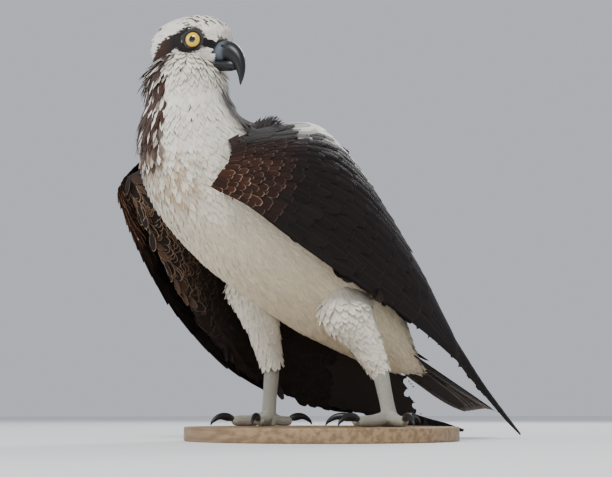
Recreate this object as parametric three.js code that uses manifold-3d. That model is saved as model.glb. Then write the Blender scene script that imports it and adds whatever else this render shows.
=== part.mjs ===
// A life-size osprey standing on a round display base, head turned to its left.
// Millimetres, +Z up. The bird faces -Y, its left side is +X, and the origin is
// the middle of the base's underside.
import * as THREE from "three";
import { mergeVertices } from "three/addons/utils/BufferGeometryUtils.js";
import Module from "manifold-3d";

const wasm = await Module();
wasm.setup();

const V = (x = 0, y = 0, z = 0) => new THREE.Vector3(x, y, z);
const gap = 0.3; // clearance between neighbouring pieces

// Driving dimensions
const baseRadius = 138;
const baseThickness = 14;
const soleLevel = baseThickness + gap;
const birdPlace = V(-10, -25, 0); // from the base's middle to the bird's own origin
const eyeHeight = 383;
const headHeading = THREE.MathUtils.degToRad(25); // from +X towards +Y
const headMiddle = V(17, -121, eyeHeight); // between the two eyes
const eyeballRadius = 9.6;
const eyeSideways = 17.6;
const wingTipLevel = 6;

// Colours as seen in sunlight
const colours = {
  white: 0xe9e4d6,
  brown: 0x2e211b,
  dark: 0x1c1614,
  horn: 0x17171b,
  cere: 0x6f7780,
  iris: 0xf0b90e,
  leg: 0xc9cdb9,
  wood: 0x8b7355,
};

// Solids and meshes

// A closed mesh as a solid, turned right side out if its faces look inwards.
function solid(geometry) {
  const made = manifold(geometry);
  return made.volume() < 0 ? manifold(flipped(geometry)) : made;
}

function flipped(geometry) {
  const turned = geometry.clone();
  const index = turned.index.array;
  for (let i = 0; i < index.length; i += 3) {
    [index[i], index[i + 1]] = [index[i + 1], index[i]];
  }
  return turned;
}

function bare(geometry) {
  const points = geometry.clone();
  points.deleteAttribute("normal");
  points.deleteAttribute("uv");
  return mergeVertices(points, 1e-4);
}

// The same shape grown outwards all round, to cut a neighbour clear of it.
function grown(geometry, by = gap) {
  const swollen = bare(geometry);
  swollen.computeVertexNormals();
  const out = manifold(swollen).volume() < 0 ? -by : by;
  const position = swollen.attributes.position;
  const normal = swollen.attributes.normal;
  for (let i = 0; i < position.count; i++) {
    const place = V().fromBufferAttribute(position, i);
    place.addScaledVector(V().fromBufferAttribute(normal, i), out);
    position.setXYZ(i, place.x, place.y, place.z);
  }
  return solid(swollen);
}

function manifold(geometry) {
  const merged = bare(geometry);
  return new wasm.Manifold(
    new wasm.Mesh({
      numProp: 3,
      vertProperties: merged.attributes.position.array,
      triVerts: new Uint32Array(merged.index.array),
    }),
  );
}

function fuse(pieces) {
  return pieces.reduce((joined, piece) => joined.add(piece));
}

// The largest closed surface of a solid.
function largest(made) {
  const pieces = made.decompose();
  return pieces.reduce((a, b) => (a.volume() > b.volume() ? a : b));
}

function mesh(name, made, colour, roughness = 0.8) {
  const got = largest(made).getMesh();
  const geometry = new THREE.BufferGeometry();
  geometry.setAttribute(
    "position",
    new THREE.BufferAttribute(new Float32Array(got.vertProperties), 3),
  );
  geometry.setIndex(new THREE.BufferAttribute(new Uint32Array(got.triVerts), 1));
  geometry.computeVertexNormals();
  const material = new THREE.MeshStandardMaterial({ color: colour, roughness });
  const node = new THREE.Mesh(geometry, material);
  node.name = name;
  return node;
}

// A smooth run of values through a few stations, read at 0 to 1.
function through(points) {
  return new THREE.CatmullRomCurve3(points, false, "catmullrom", 0.5);
}

// A body along a spine: a sphere's rings are moved onto it, with their own half
// width and their own reach to the upper and the lower side.
function limb({ spine, sizes, across, sides, rings }) {
  const path = through(spine);
  const size = through(sizes);
  const geometry = new THREE.SphereGeometry(1, sides, rings);
  const position = geometry.attributes.position;
  for (let i = 0; i < position.count; i++) {
    const ring = Math.floor(i / (sides + 1));
    const turn = ((i % (sides + 1)) / sides) * 2 * Math.PI;
    const place = limbPoint(path, size, across, ring / rings, turn);
    position.setXYZ(i, place.x, place.y, place.z);
  }
  return geometry;
}

function limbPoint(path, size, across, t, turn) {
  const at = path.getPoint(t);
  const along = path.getTangent(THREE.MathUtils.clamp(t, 0.002, 0.998));
  if (t <= 0 || t >= 1) return at;
  const up = across.clone().cross(along).normalize();
  const side = up.clone().cross(along).normalize();
  const s = size.getPoint(t);
  const rise = Math.sin(turn);
  return at
    .addScaledVector(side, Math.cos(turn) * s.x)
    .addScaledVector(up, rise * (rise > 0 ? s.y : s.z));
}

function ball(centre, radius, sides = 16, rings = 12) {
  return new THREE.SphereGeometry(radius, sides, rings).translate(
    centre.x,
    centre.y,
    centre.z,
  );
}

function block(low, high) {
  const size = high.clone().sub(low);
  const middle = high.clone().add(low).multiplyScalar(0.5);
  return solid(
    new THREE.BoxGeometry(size.x, size.y, size.z).translate(
      middle.x,
      middle.y,
      middle.z,
    ),
  );
}

// Vanes: thin, flat, tapered plates that lie over a surface. A surface gives a
// point and a normal for (s, q), and the millimetres that one unit of q spans.

const vaneOutline = {
  feather: { outline: [0.55, 0.85, 1, 0.97, 0.72], tipShare: 0.45 },
  covert: { outline: [0.7, 1, 0.9], tipShare: 0.45 },
  lock: { outline: [0.8, 1, 0.6], tipShare: 0.2 },
};

function vane(surface, spec) {
  const { from, to, width, lift, roll = 0, thick = 0.9, rows, columns = 1, shape = "covert" } = spec;
  const { outline, tipShare } = vaneOutline[shape];
  const place = (across, along, face) => {
    const run = along * (1 - (along === 1 ? 0.05 * across * across : 0));
    const slot = run * (outline.length - 0.4);
    const k = Math.min(Math.floor(slot), outline.length - 1);
    const next = k + 1 < outline.length ? outline[k + 1] : tipShare;
    const between = THREE.MathUtils.lerp(outline[k], next, Math.min(slot - k, 1));
    const wide = along === 1 ? tipShare : between;
    const s = THREE.MathUtils.lerp(from[0], to[0], run);
    const middle = THREE.MathUtils.lerp(from[1], to[1], run);
    const q = middle + (across * wide * width) / 2 / surface.span(s);
    const height = THREE.MathUtils.lerp(lift[0], lift[1], along);
    const depth = height + (roll * across * wide * width + face * thick) / 2;
    return surface.point(s, q).addScaledVector(surface.normal(s, middle), depth);
  };
  const sheet = new THREE.PlaneGeometry(2, 1, columns, rows);
  const grid = sheet.attributes.position;
  const points = [];
  for (const face of [1, -1]) {
    for (let i = 0; i < grid.count; i++) {
      points.push(place(grid.getX(i), 0.5 - grid.getY(i), face));
    }
  }
  const index = [...sheet.index.array];
  const faces = [];
  for (let i = 0; i < index.length; i += 3) {
    const [a, b, c] = index.slice(i, i + 3);
    faces.push(a, b, c, c + grid.count, b + grid.count, a + grid.count);
  }
  const wide = columns + 1;
  const rim = [];
  for (let i = 0; i < columns; i++) rim.push(i);
  for (let i = 0; i < rows; i++) rim.push(columns + i * wide);
  for (let i = columns; i > 0; i--) rim.push(rows * wide + i);
  for (let i = rows; i > 0; i--) rim.push(i * wide);
  rim.forEach((a, i) => {
    const b = rim[(i + 1) % rim.length];
    faces.push(a, b, b + grid.count, a, b + grid.count, a + grid.count);
  });
  const geometry = new THREE.BufferGeometry().setFromPoints(points);
  geometry.setIndex(faces);
  return solid(geometry);
}

// A row of like vanes from one end of q to the other, each a little different.
function tier(surface, count, make) {
  return Array.from({ length: count }, (_, k) => vane(surface, make(k / (count - 1), k)));
}

// Trunk: tail root, belly, breast and neck on one spine in the middle plane

const trunkStations = [
  { y: 162, z: 76, wide: 6, back: 3, belly: 4 },
  { y: 128, z: 94, wide: 27, back: 20, belly: 22 },
  { y: 85, z: 124, wide: 46, back: 48, belly: 39 },
  { y: 40, z: 159, wide: 60, back: 74, belly: 56 },
  { y: -5, z: 194, wide: 68, back: 92, belly: 66 },
  { y: -62, z: 229, wide: 69, back: 94, belly: 66 },
  { y: -105, z: 261, wide: 60, back: 80, belly: 60 },
  { y: -124, z: 297, wide: 49, back: 56, belly: 52 },
  { y: -131, z: 330, wide: 39, back: 44, belly: 38 },
  { y: -133, z: 360, wide: 34, back: 35, belly: 31 },
  { y: -133, z: 384, wide: 8, back: 8, belly: 8 },
];
const trunk = {
  spine: trunkStations.map((s) => V(0, s.y, s.z)),
  sizes: trunkStations.map((s) => V(s.wide, s.back, s.belly)),
  across: V(-1, 0, 0),
  sides: 18,
  rings: 22,
};

// Head: a spine along the line from the back of the head to the bill, in the
// head's own axes, where x is ahead, y is left and z is up from between the eyes

const headStations = [
  { x: -51, z: -8, wide: 5, crown: 4, chin: 6 },
  { x: -43, z: -6, wide: 20, crown: 21, chin: 22 },
  { x: -28, z: -3, wide: 28, crown: 30, chin: 30 },
  { x: -11, z: -1, wide: 29, crown: 31, chin: 27 },
  { x: 4, z: -1, wide: 25.5, crown: 29, chin: 25 },
  { x: 15, z: -3, wide: 18, crown: 23, chin: 22.5 },
  { x: 23, z: -7, wide: 10.5, crown: 13, chin: 15.5 },
  { x: 28, z: -8, wide: 4, crown: 4, chin: 4 },
];
const head = {
  spine: headStations.map((s) => V(s.x, 0, s.z)),
  sizes: headStations.map((s) => V(s.wide, s.crown, s.chin)),
  across: V(0, -1, 0),
  sides: 18,
  rings: 13,
};
const headTurn = new THREE.Matrix4()
  .makeRotationZ(headHeading)
  .setPosition(headMiddle);
const onHead = (geometry) => geometry.clone().applyMatrix4(headTurn);
const moveToHead = (made) => made.transform(headTurn.toArray());

const billStations = [
  { x: 12, z: -8, wide: 9, ridge: 9, edge: 9 },
  { x: 21, z: -9, wide: 10, ridge: 9.8, edge: 10.6 },
  { x: 31, z: -11, wide: 9.2, ridge: 9.8, edge: 10 },
  { x: 38.6, z: -17, wide: 7, ridge: 7.6, edge: 8.6 },
  { x: 43.2, z: -26.5, wide: 4.6, ridge: 5, edge: 6.4 },
  { x: 44, z: -36.5, wide: 2.7, ridge: 3, edge: 3.3 },
  { x: 43, z: -46, wide: 0.5, ridge: 0.5, edge: 0.5 },
];
const billUpper = {
  spine: billStations.map((s) => V(s.x, 0, s.z)),
  sizes: billStations.map((s) => V(s.wide, s.ridge, s.edge)),
  across: V(0, -1, 0),
  sides: 12,
  rings: 12,
};
const billLower = {
  spine: [V(6, 0, -21), V(16, 0, -22.5), V(25, 0, -24.5), V(33, 0, -26.5), V(38, 0, -29)],
  sizes: [V(9, 4, 4), V(8.6, 5, 4.6), V(7.4, 6, 4.6), V(5.4, 7, 3.8), V(1.6, 2, 1.2)],
  across: V(0, -1, 0),
  sides: 10,
  rings: 7,
};

// Folded wing: a curved sheet from the wrist to the tip. Each station along it
// has a lower edge, a bulge and an upper edge, as (along, outwards, upwards)

const wingStations = [
  { along: -16, low: [74, -8], bulge: [84, 2], top: [70, 10] },
  { along: 2, low: [78, -24], bulge: [100, 6], top: [62, 30] },
  { along: 48, low: [82, -38], bulge: [108, 32], top: [38, 80] },
  { along: 94, low: [83, -44], bulge: [112, 54], top: [24, 122] },
  { along: 140, low: [83, -44], bulge: [110, 60], top: [18, 124] },
  { along: 204, low: [80, -37], bulge: [103, 50], top: [15, 105] },
  { along: 268, low: [72, -23], bulge: [91, 38], top: [14, 79] },
  { along: 332, low: [60, -10], bulge: [72, 20], top: [18, 47] },
  { along: 396, low: [52, -6], bulge: [57, 8], top: [34, 20] },
  { along: 446, low: [47, -5], bulge: [49, 3], top: [38, 11] },
  { along: 486, low: [42, -2], bulge: [43, 1], top: [39, 4] },
];
const wingReach = wingStations.at(-1).along;
const coreEnd = 420; // the last of the wing's body, short of its feather tips

// droop hangs the lower edge below the folded shape, or draws it up if negative,
// spread moves the wrist away from the body, and the wing's body begins at start.
function wingSurface({ side, wristUp, start, droop, spread }) {
  const wrist = V(0, -144, wristUp);
  const tip = V(0, 270, wingTipLevel);
  const ahead = tip.clone().sub(wrist).normalize();
  const upward = V(0, -ahead.z, ahead.y);
  const run = (a) => Math.max(a, 0) / wingReach;
  const sag = (a) => droop.by * Math.sin(Math.PI * run(a) ** droop.power);
  const away = (a) => spread * Math.cos((Math.PI / 2) * run(a));
  const edge = (key, share) =>
    through(
      wingStations.map(({ along, [key]: [outwards, upwards] }) =>
        V(along, outwards + away(along) * share, upwards - sag(along) * share),
      ),
    );
  const low = edge("low", 1);
  const bulge = edge("bulge", 0.7);
  const top = edge("top", 0.25);
  const share = (a) => {
    let [from, to] = [0, 1];
    for (let i = 0; i < 22; i++) {
      const middle = (from + to) / 2;
      if (low.getPoint(middle).x < a) from = middle;
      else to = middle;
    }
    return (from + to) / 2;
  };
  const known = new Map();
  const section = (a) => {
    const key = Math.round(a * 20);
    if (!known.has(key)) {
      const t = share(key / 20);
      known.set(key, [low, bulge, top].map((c) => c.getPoint(t)));
    }
    return known.get(key);
  };
  const point = (a, q) => {
    const [p0, p1, p2] = section(a);
    const inside = THREE.MathUtils.clamp(q, 0, 1);
    const place = V(0, 0, 0)
      .addScaledVector(p0, (1 - inside) ** 2)
      .addScaledVector(p1, 2 * inside * (1 - inside))
      .addScaledVector(p2, inside ** 2);
    if (q < 0) place.addScaledVector(p1.clone().sub(p0), 2 * q);
    if (q > 1) place.addScaledVector(p2.clone().sub(p1), 2 * (q - 1));
    return wrist
      .clone()
      .addScaledVector(ahead, a)
      .addScaledVector(upward, place.z)
      .add(V(side * place.y, 0, 0));
  };
  const normal = (a, q) => {
    const along = point(a + 2, q).sub(point(a - 2, q));
    const up = point(a, q + 0.03).sub(point(a, q - 0.03));
    return along.cross(up).multiplyScalar(side).normalize();
  };
  const span = (a) => {
    const [p0, , p2] = section(a);
    return Math.max(1.12 * Math.hypot(p2.y - p0.y, p2.z - p0.z), 16);
  };
  return { point, normal, span, start };
}

// The wing's body under its feathers: the sheet given a thickness inwards.
function wingCore(surface, { start, end, thickness, sides, rings, sunk = 1.2 }) {
  const depth = through(thickness.map((t) => V(t, 0, 0)));
  const geometry = new THREE.SphereGeometry(1, sides, rings);
  const position = geometry.attributes.position;
  for (let i = 0; i < position.count; i++) {
    const share = Math.floor(i / (sides + 1)) / rings;
    const turn = ((i % (sides + 1)) / sides) * 2 * Math.PI;
    const a = THREE.MathUtils.lerp(start, end, share ** 1.35);
    const pole = share === 0 || share === 1;
    const q = pole ? 0.5 : 0.5 - 0.5 * Math.cos(turn);
    const inward = pole ? 0.5 : 0.5 - 0.5 * Math.sin(turn);
    const place = surface
      .point(a, q)
      .addScaledVector(surface.normal(a, q), -sunk - depth.getPoint(share).x * inward);
    position.setXYZ(i, place.x, place.y, place.z);
  }
  return solid(geometry);
}

const wingThickness = [22, 32, 34, 34, 30, 22, 14, 8, 5, 3, 2.2, 2];

// Folded flight feathers and their coverts, as vanes in tiers. Positions are
// (millimetres from the wrist, share of the way from the lower to the upper edge)
function wingVanes(surface) {
  const at = THREE.MathUtils.lerp;
  const primaries = tier(surface, 6, (share, k) => ({
    from: [190 - 6 * k, 0.14 + 0.03 * k],
    to: [484 - 17 * k, at(0.2, 0.75, share)],
    width: 24,
    lift: [-2.5, 0.3 + 0.25 * k],
    thick: 1.2,
    rows: 3,
    shape: "feather",
  }));
  const secondaries = tier(surface, 6, (share, k) => ({
    from: [150 + 12 * share, at(0.16, 0.8, share)],
    to: [at(352, 318, share) + 5 * (k % 2), at(0.14, 0.86, share)],
    width: at(44, 46, share),
    lift: [-0.9, 0.4 + 1.3 * (k % 2)],
    thick: 1.1,
    rows: 3,
    shape: "feather",
  }));
  const row = (count, tip, length, width, lift) =>
    tier(surface, count, (share, k) => ({
      from: [tip - length, at(0.08, 0.9, share)],
      to: [tip + 9 * (k % 2), at(0.06, 0.92, share)],
      width,
      lift: [-1.2, lift + 1.2 * (k % 2)],
      rows: 2,
    }));
  const scapulars = tier(surface, 4, (share, k) => ({
    from: [at(44, 128, share), 0.84],
    to: [at(128, 232, share), 0.9 - 0.14 * (k % 2)],
    width: 34,
    lift: [-1, 4.4 + 1.1 * (k % 2)],
    thick: 1.1,
    rows: 3,
  }));
  const edge = tier(surface, 2, (share) => ({
    from: [at(14, 96, share), 0.05],
    to: [at(84, 176, share), at(0.02, 0.08, share)],
    width: 17,
    lift: [-1, 2.4],
    rows: 2,
  }));
  return [
    ...primaries,
    ...secondaries,
    ...row(6, 246, 66, 32, 2.4),
    ...row(5, 192, 52, 35, 3),
    ...row(5, 140, 46, 31, 3),
    ...row(4, 92, 42, 27, 2.6),
    ...scapulars,
    ...edge,
  ];
}

function featheredWing(surface) {
  const run = { start: surface.start, end: coreEnd, thickness: wingThickness };
  const core = wingCore(surface, { ...run, sides: 12, rings: 13 });
  return fuse([core, ...wingVanes(surface)]);
}

// Tail

const tailLength = 196;
const tailRoot = V(0, 88, 120);
const tailTip = V(0, 254, 37);

function tailSurface() {
  const ahead = tailTip.clone().sub(tailRoot).normalize();
  const up = V(0, -ahead.z, ahead.y);
  const arch = 0.006;
  const point = (s, q) =>
    tailRoot
      .clone()
      .addScaledVector(ahead, s)
      .addScaledVector(up, -arch * q * q)
      .add(V(q, 0, 0));
  return { point, normal: () => up.clone(), span: () => 1 };
}

const leg = {
  left: { side: 1, knee: V(46, 26, 132), ankle: V(53, 66, 74), foot: V(72, 64, 0), heading: 8 },
  right: { side: -1, knee: V(-44, -26, 160), ankle: V(-50, 5, 80), foot: V(-50, 0, 0), heading: -4 },
};
const toes = [
  { name: "inner", turn: -38, length: 40, root: 6.2 },
  { name: "middle", turn: 0, length: 48, root: 6.4 },
  { name: "outer", turn: 62, length: 43, root: 6.2 },
  { name: "hind", turn: 188, length: 29, root: 6 },
];

function toeDirection(l, toe) {
  const turn = THREE.MathUtils.degToRad(l.heading + toe.turn) * l.side;
  return V(Math.sin(turn), -Math.cos(turn), 0);
}

function toeParts(l, toe) {
  const way = toeDirection(l, toe);
  const across = V(0, 0, 1).cross(way).negate();
  const from = l.foot.clone().setZ(soleLevel);
  const at = (out, up) => from.clone().addScaledVector(way, out).add(V(0, 0, up));
  const r = toe.root;
  const length = toe.length;
  return {
    toe: limb({
      spine: [
        at(-6, 9),
        at(3, 9),
        at(length * 0.35, r - 0.2),
        at(length * 0.62, r - 0.6),
        at(length * 0.86, r - 0.7),
        at(length, 6),
      ],
      sizes: [
        V(3, 3, 3),
        V(7, 7, 7),
        V(r, r, r),
        V(r - 1.2, r - 1.2, r - 0.3),
        V(r - 0.4, r - 0.8, r - 0.3),
        V(1.6, 2, 2),
      ],
      across,
      sides: 8,
      rings: 6,
    }),
    claw: limb({
      spine: [
        at(length - 6, 6.2),
        at(length + 3, 9),
        at(length + 13, 9.6),
        at(length + 21, 5.4),
        at(length + 24.5, 0.9),
      ],
      sizes: [
        V(1.5, 1.5, 1.5),
        V(3.4, 4, 4),
        V(2.6, 3.2, 3),
        V(1.6, 2, 1.8),
        V(0.35, 0.35, 0.35),
      ],
      across,
      sides: 6,
      rings: 7,
    }),
  };
}

// The pieces, each cut clear of its neighbours

const trunkSolid = solid(limb(trunk));
const trunkGrown = grown(limb(trunk), gap * 1.1);
const everything = 600; // longer than anything it cuts
const neckCut = { point: V(0, -98, 276), tilt: 24 };

function halfSpace(side) {
  const box = new THREE.BoxGeometry(everything, everything, everything);
  box.translate(0, 0, side * (everything / 2 + gap / 2));
  box.rotateX(THREE.MathUtils.degToRad(neckCut.tilt));
  box.translate(neckCut.point.x, neckCut.point.y, neckCut.point.z);
  return solid(box);
}

const torso = trunkSolid.intersect(halfSpace(-1));

// Loose feathers of the nape, as tapered locks over the back of the head and
// round the back of the neck, where they turn with the head

function onLimb(shape, { share, turn, span }) {
  const path = through(shape.spine);
  const size = through(shape.sizes);
  const point = (s, q) => limbPoint(path, size, shape.across, share(s), turn(s, q));
  const normal = (s, q) => {
    const along = point(s + 1, q).sub(point(s - 1, q));
    const round = point(s, q + 0.05).sub(point(s, q - 0.05));
    return along.cross(round).normalize();
  };
  return { point, normal, span: () => span };
}

const neckTop = 0.965; // share of the trunk's spine
const napeOfNeck = onLimb(trunk, {
  share: (s) => neckTop - s / 420,
  turn: (s, q) => THREE.MathUtils.degToRad(214 - 0.5 * s) - q,
  span: 40,
});
const backOfHead = onLimb(head, {
  share: (s) => 0.5 - s / 110,
  turn: (s, q) => Math.PI / 2 + q,
  span: 28,
});

function napeLocks(surface, rows, length, drop) {
  return rows.flatMap(({ count, start, reach }) =>
    tier(surface, count, (share, k) => {
      const q = (2 * share - 1) * reach;
      return {
        from: [start + drop * (k % 2), q],
        to: [start + length + 2 * drop * (k % 2), q * 1.04],
        width: 18,
        lift: [-0.8, 3.4],
        roll: 0.08,
        rows: 2,
        shape: "lock",
      };
    }),
  );
}

const neckLocks = napeLocks(
  napeOfNeck,
  [
    { count: 6, start: 12, reach: 1.15 },
    { count: 6, start: 36, reach: 1.3 },
    { count: 5, start: 60, reach: 1.35 },
  ],
  34,
  5,
);
const headLocks = napeLocks(backOfHead, [{ count: 6, start: 8, reach: 1.2 }], 34, 4);

// Eyes, their lids and brows, the mouth line and the nostrils

const sides = { left: 1, right: -1 };
const eyes = Object.values(sides).map((s) => V(1, s * eyeSideways, 0));
const lids = eyes.map((eye) => {
  const ring = new THREE.TorusGeometry(8.3, 1.5, 4, 14);
  ring.rotateX(Math.PI / 2);
  return onHead(ring.translate(eye.x, eye.y + Math.sign(eye.y) * 5.4, 0));
});
const brows = Object.values(sides).map((s) =>
  onHead(
    limb({
      spine: [V(-13, s * 25, 8), V(-4, s * 26.2, 10.5), V(7, s * 23.4, 10), V(17, s * 16.6, 6)],
      sizes: [V(2, 2, 2), V(4, 3, 4), V(4, 3, 4), V(1.6, 1.6, 1.6)],
      across: V(0, -1, 0),
      sides: 6,
      rings: 6,
    }),
  ),
);
const headForms = [onHead(limb(head)), ...lids, ...brows];
const headGrown = fuse(headForms.map((form) => grown(form)));
const eyeballs = eyes.map((eye) => onHead(ball(eye, eyeballRadius, 14, 9)));
const mouth = { ahead: 13, level: -21.5, length: 20, height: 0.9, depth: 1.8 };
const mouthSlot = solid(
  onHead(
    new THREE.BoxGeometry(mouth.length, everything, mouth.height).translate(
      mouth.ahead,
      0,
      mouth.level,
    ),
  ),
).subtract(grown(headForms[0], -mouth.depth));
const upperGrown = grown(onHead(limb(billUpper)));
const nostril = { ahead: 29, sideways: 8.9, level: -8, half: V(2.6, 1.8, 1.1), tilt: 0.5 };
const nostrils = Object.values(sides).map((s) => {
  const slit = ball(V(), 1, 6, 4).scale(...nostril.half).rotateY(nostril.tilt);
  return solid(onHead(slit.translate(nostril.ahead, s * nostril.sideways, nostril.level)));
});
const upper = solid(onHead(limb(billUpper))).subtract(fuse(nostrils));

const headPiece = fuse([...headForms.map(solid), ...headLocks.map(moveToHead)])
  .subtract(fuse(eyeballs.map((eye) => grown(eye))))
  .subtract(mouthSlot)
  .subtract(upperGrown);
const lowerBill = solid(onHead(limb(billLower))).subtract(upperGrown).subtract(headGrown);
const neck = trunkSolid
  .intersect(halfSpace(1))
  .add(fuse(neckLocks).intersect(halfSpace(1)))
  .subtract(headGrown)
  .subtract(upperGrown)
  .subtract(grown(onHead(limb(billLower))));

// Wings and tail

const wings = {
  left: wingSurface({
    side: 1,
    wristUp: 252,
    start: 12,
    droop: { by: -38, power: 0.6 },
    spread: 0,
  }),
  right: wingSurface({
    side: -1,
    wristUp: 266,
    start: -14,
    droop: { by: 66, power: 1.3 },
    spread: 16,
  }),
};

function wing(name) {
  const surface = wings[name];
  return featheredWing(surface).subtract(trunkGrown).subtract(headGrown);
}

const tail = tailSurface();

const tailFeathers = 12;
const tailVane = 26; // width of one feather
const tailHalfWidth = 34;
const tailRootWidth = 44;

function featheredTail() {
  const core = wingCore(
    { point: (s, q) => tail.point(s, (q - 0.5) * (tailRootWidth - 0.1 * s)), normal: tail.normal },
    { start: -4, end: tailLength * 0.5, thickness: [10, 10, 8, 4, 3], sides: 12, rings: 5, sunk: 0 },
  );
  const vanes = tier(tail, tailFeathers, (share) => {
    const place = 2 * share - 1;
    return {
      from: [6, place * 14],
      to: [tailLength - 6 * place * place, place * (tailHalfWidth - tailVane / 2)],
      width: tailVane,
      lift: [-3 - 0.6 * Math.abs(place), -1.4 - 2.4 * Math.abs(place)],
      thick: 1.2,
      rows: 3,
      shape: "feather",
    };
  });
  const coverts = tier(tail, 4, (share, k) => ({
    from: [0, (2 * share - 1) * 12],
    to: [74 + 12 * (k % 2), (2 * share - 1) * 20],
    width: 20,
    lift: [0, 1.2],
    rows: 3,
  }));
  return fuse([core, ...vanes, ...coverts]);
}

// Legs

function legPieces(name) {
  const l = leg[name];
  const lower = name === "left" ? 9.4 : 10.2;
  const across = V(1, 0, 0);
  const thigh = {
    spine: [
      l.knee.clone().add(V(0, -10, 22)),
      l.knee,
      l.knee.clone().lerp(l.ankle, 0.55),
      l.ankle.clone().add(V(0, 0, -4)),
    ],
    sizes: [V(12, 12, 12), V(22, 25, 25), V(15, 16, 16), V(lower, lower, lower)],
    across,
    sides: 14,
    rings: 12,
  };
  const ankle = l.ankle;
  const down = l.foot.clone().setZ(soleLevel + 6);
  const shank = {
    spine: [
      ankle.clone().add(V(0, 0, 9)),
      ankle.clone().lerp(down, 0.2),
      ankle.clone().lerp(down, 0.7),
      down,
    ],
    sizes: [V(7, 7, 7), V(8, 8.4, 8.4), V(7.2, 7.6, 7.6), V(8.6, 8.6, 8.6)],
    across,
    sides: 10,
    rings: 8,
  };
  const parts = toes.map((toe) => toeParts(l, toe));
  const at = (up) => l.foot.clone().setZ(soleLevel + up);
  const palm = limb({
    spine: [at(-6), at(4), at(14)],
    sizes: [V(7, 7, 7), V(9.4, 9.4, 9.4), V(7, 7, 7)],
    across,
    sides: 10,
    rings: 6,
  });
  const forms = [palm, ...parts.map((part) => part.toe)];
  const under = block(V(-everything, -everything, -everything), V(everything, everything, soleLevel));
  const foot = fuse(forms.map(solid)).subtract(under);
  const footGrown = fuse(forms.map((form) => grown(form)));
  return {
    thigh: solid(limb(thigh)).subtract(trunkGrown).subtract(grown(limb(shank))),
    tarsus: solid(limb(shank)).subtract(footGrown),
    foot,
    claws: parts.map((part) => solid(part.claw).subtract(footGrown)),
  };
}

const legs = { left: legPieces("left"), right: legPieces("right") };

// Every piece as a named node

const bird = new THREE.Group();
bird.name = "osprey";
bird.add(
  mesh("torso", torso, colours.white),
  mesh("neck", neck, colours.white),
  mesh("head", headPiece, colours.white),
  mesh("bill_upper", upper, colours.horn, 0.35),
  mesh("bill_lower", lowerBill, colours.horn, 0.35),
  mesh("tail", featheredTail().subtract(trunkGrown), colours.brown),
);
Object.keys(sides).forEach((name, i) => {
  bird.add(
    mesh(`eye_${name}`, solid(eyeballs[i]), colours.iris, 0.1),
    mesh(`wing_${name}`, wing(name), colours.dark),
    mesh(`thigh_${name}`, legs[name].thigh, colours.white),
    mesh(`tarsus_${name}`, legs[name].tarsus, colours.leg, 0.6),
    mesh(`foot_${name}`, legs[name].foot, colours.leg, 0.6),
    ...legs[name].claws.map((claw, k) => mesh(`claw_${name}_${k + 1}`, claw, colours.horn, 0.35)),
  );
});
bird.position.copy(birdPlace);

const base = new THREE.CylinderGeometry(baseRadius, baseRadius, baseThickness, 64)
  .rotateX(Math.PI / 2)
  .translate(0, 0, baseThickness / 2);

const osprey = new THREE.Group();
osprey.name = "osprey_on_base";
osprey.add(bird, mesh("stand_base", solid(base), colours.wood, 0.6));

export default osprey;
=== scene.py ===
# %% [markdown]
# An osprey stands on a round wooden base, its wings folded and its head turned
# to its left. The solid model comes from a CAD file in millimetres, and this
# lesson dresses it: skin, feathers, eyes, horn and scales. Everything stays in
# the CAD model's own frame, in metres, so nothing has to be fitted by eye. All
# chance comes from one seeded generator, so every run gives the same bird.

import math

import bmesh
import bpy
import numpy as np
from mathutils import Matrix, Vector


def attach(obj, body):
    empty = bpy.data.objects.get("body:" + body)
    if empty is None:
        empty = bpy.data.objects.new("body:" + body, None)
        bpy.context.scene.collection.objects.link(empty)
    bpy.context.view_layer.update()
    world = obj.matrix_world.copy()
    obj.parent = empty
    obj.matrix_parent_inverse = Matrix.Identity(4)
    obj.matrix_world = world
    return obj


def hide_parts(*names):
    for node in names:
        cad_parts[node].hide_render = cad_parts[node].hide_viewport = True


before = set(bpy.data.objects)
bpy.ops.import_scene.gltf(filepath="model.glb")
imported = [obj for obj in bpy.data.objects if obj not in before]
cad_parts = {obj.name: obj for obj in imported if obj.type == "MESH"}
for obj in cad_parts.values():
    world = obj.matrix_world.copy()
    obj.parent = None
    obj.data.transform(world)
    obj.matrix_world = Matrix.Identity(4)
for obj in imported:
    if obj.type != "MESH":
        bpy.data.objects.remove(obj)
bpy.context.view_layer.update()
feather_seed = 11
rng = np.random.default_rng(feather_seed)

# %% [markdown]
# Shader maths reads best as plain formulas. A small class wraps a node's output
# socket, so that 1 - mask or noise * 0.5 adds the Math node that works it out.
# Any other node comes from one method, which sets its options before its inputs.
# It could be clicked together in the editor, but then nobody could read it here.

# %% A socket that understands arithmetic
class Field:
    def __init__(self, tree, socket):
        self.tree = tree
        self.socket = socket

    def math(self, operation, *values):
        return self.node("ShaderNodeMath", {"operation": operation}, dict(enumerate(values)))

    def node(self, kind, settings=None, inputs=None, output=0):
        made = self.tree.nodes.new(kind)
        for name, value in (settings or {}).items():
            setattr(made, name, value)
        for key, value in (inputs or {}).items():
            put(self.tree, made.inputs[key], value)
        return Field(self.tree, made.outputs[output])

    def __add__(self, other):
        return self.math("ADD", self, other)

    def __radd__(self, other):
        return self.math("ADD", other, self)

    def __sub__(self, other):
        return self.math("SUBTRACT", self, other)

    def __rsub__(self, other):
        return self.math("SUBTRACT", other, self)

    def __mul__(self, other):
        return self.math("MULTIPLY", self, other)

    def __rmul__(self, other):
        return self.math("MULTIPLY", other, self)

    def step(self, low, high):
        mapped = {"Value": self, "From Min": low, "From Max": high}
        return self.node("ShaderNodeMapRange", {"interpolation_type": "SMOOTHSTEP"}, mapped)


def put(tree, socket, value):
    if isinstance(value, Field):
        tree.links.new(value.socket, socket)
    else:
        socket.default_value = value


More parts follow.
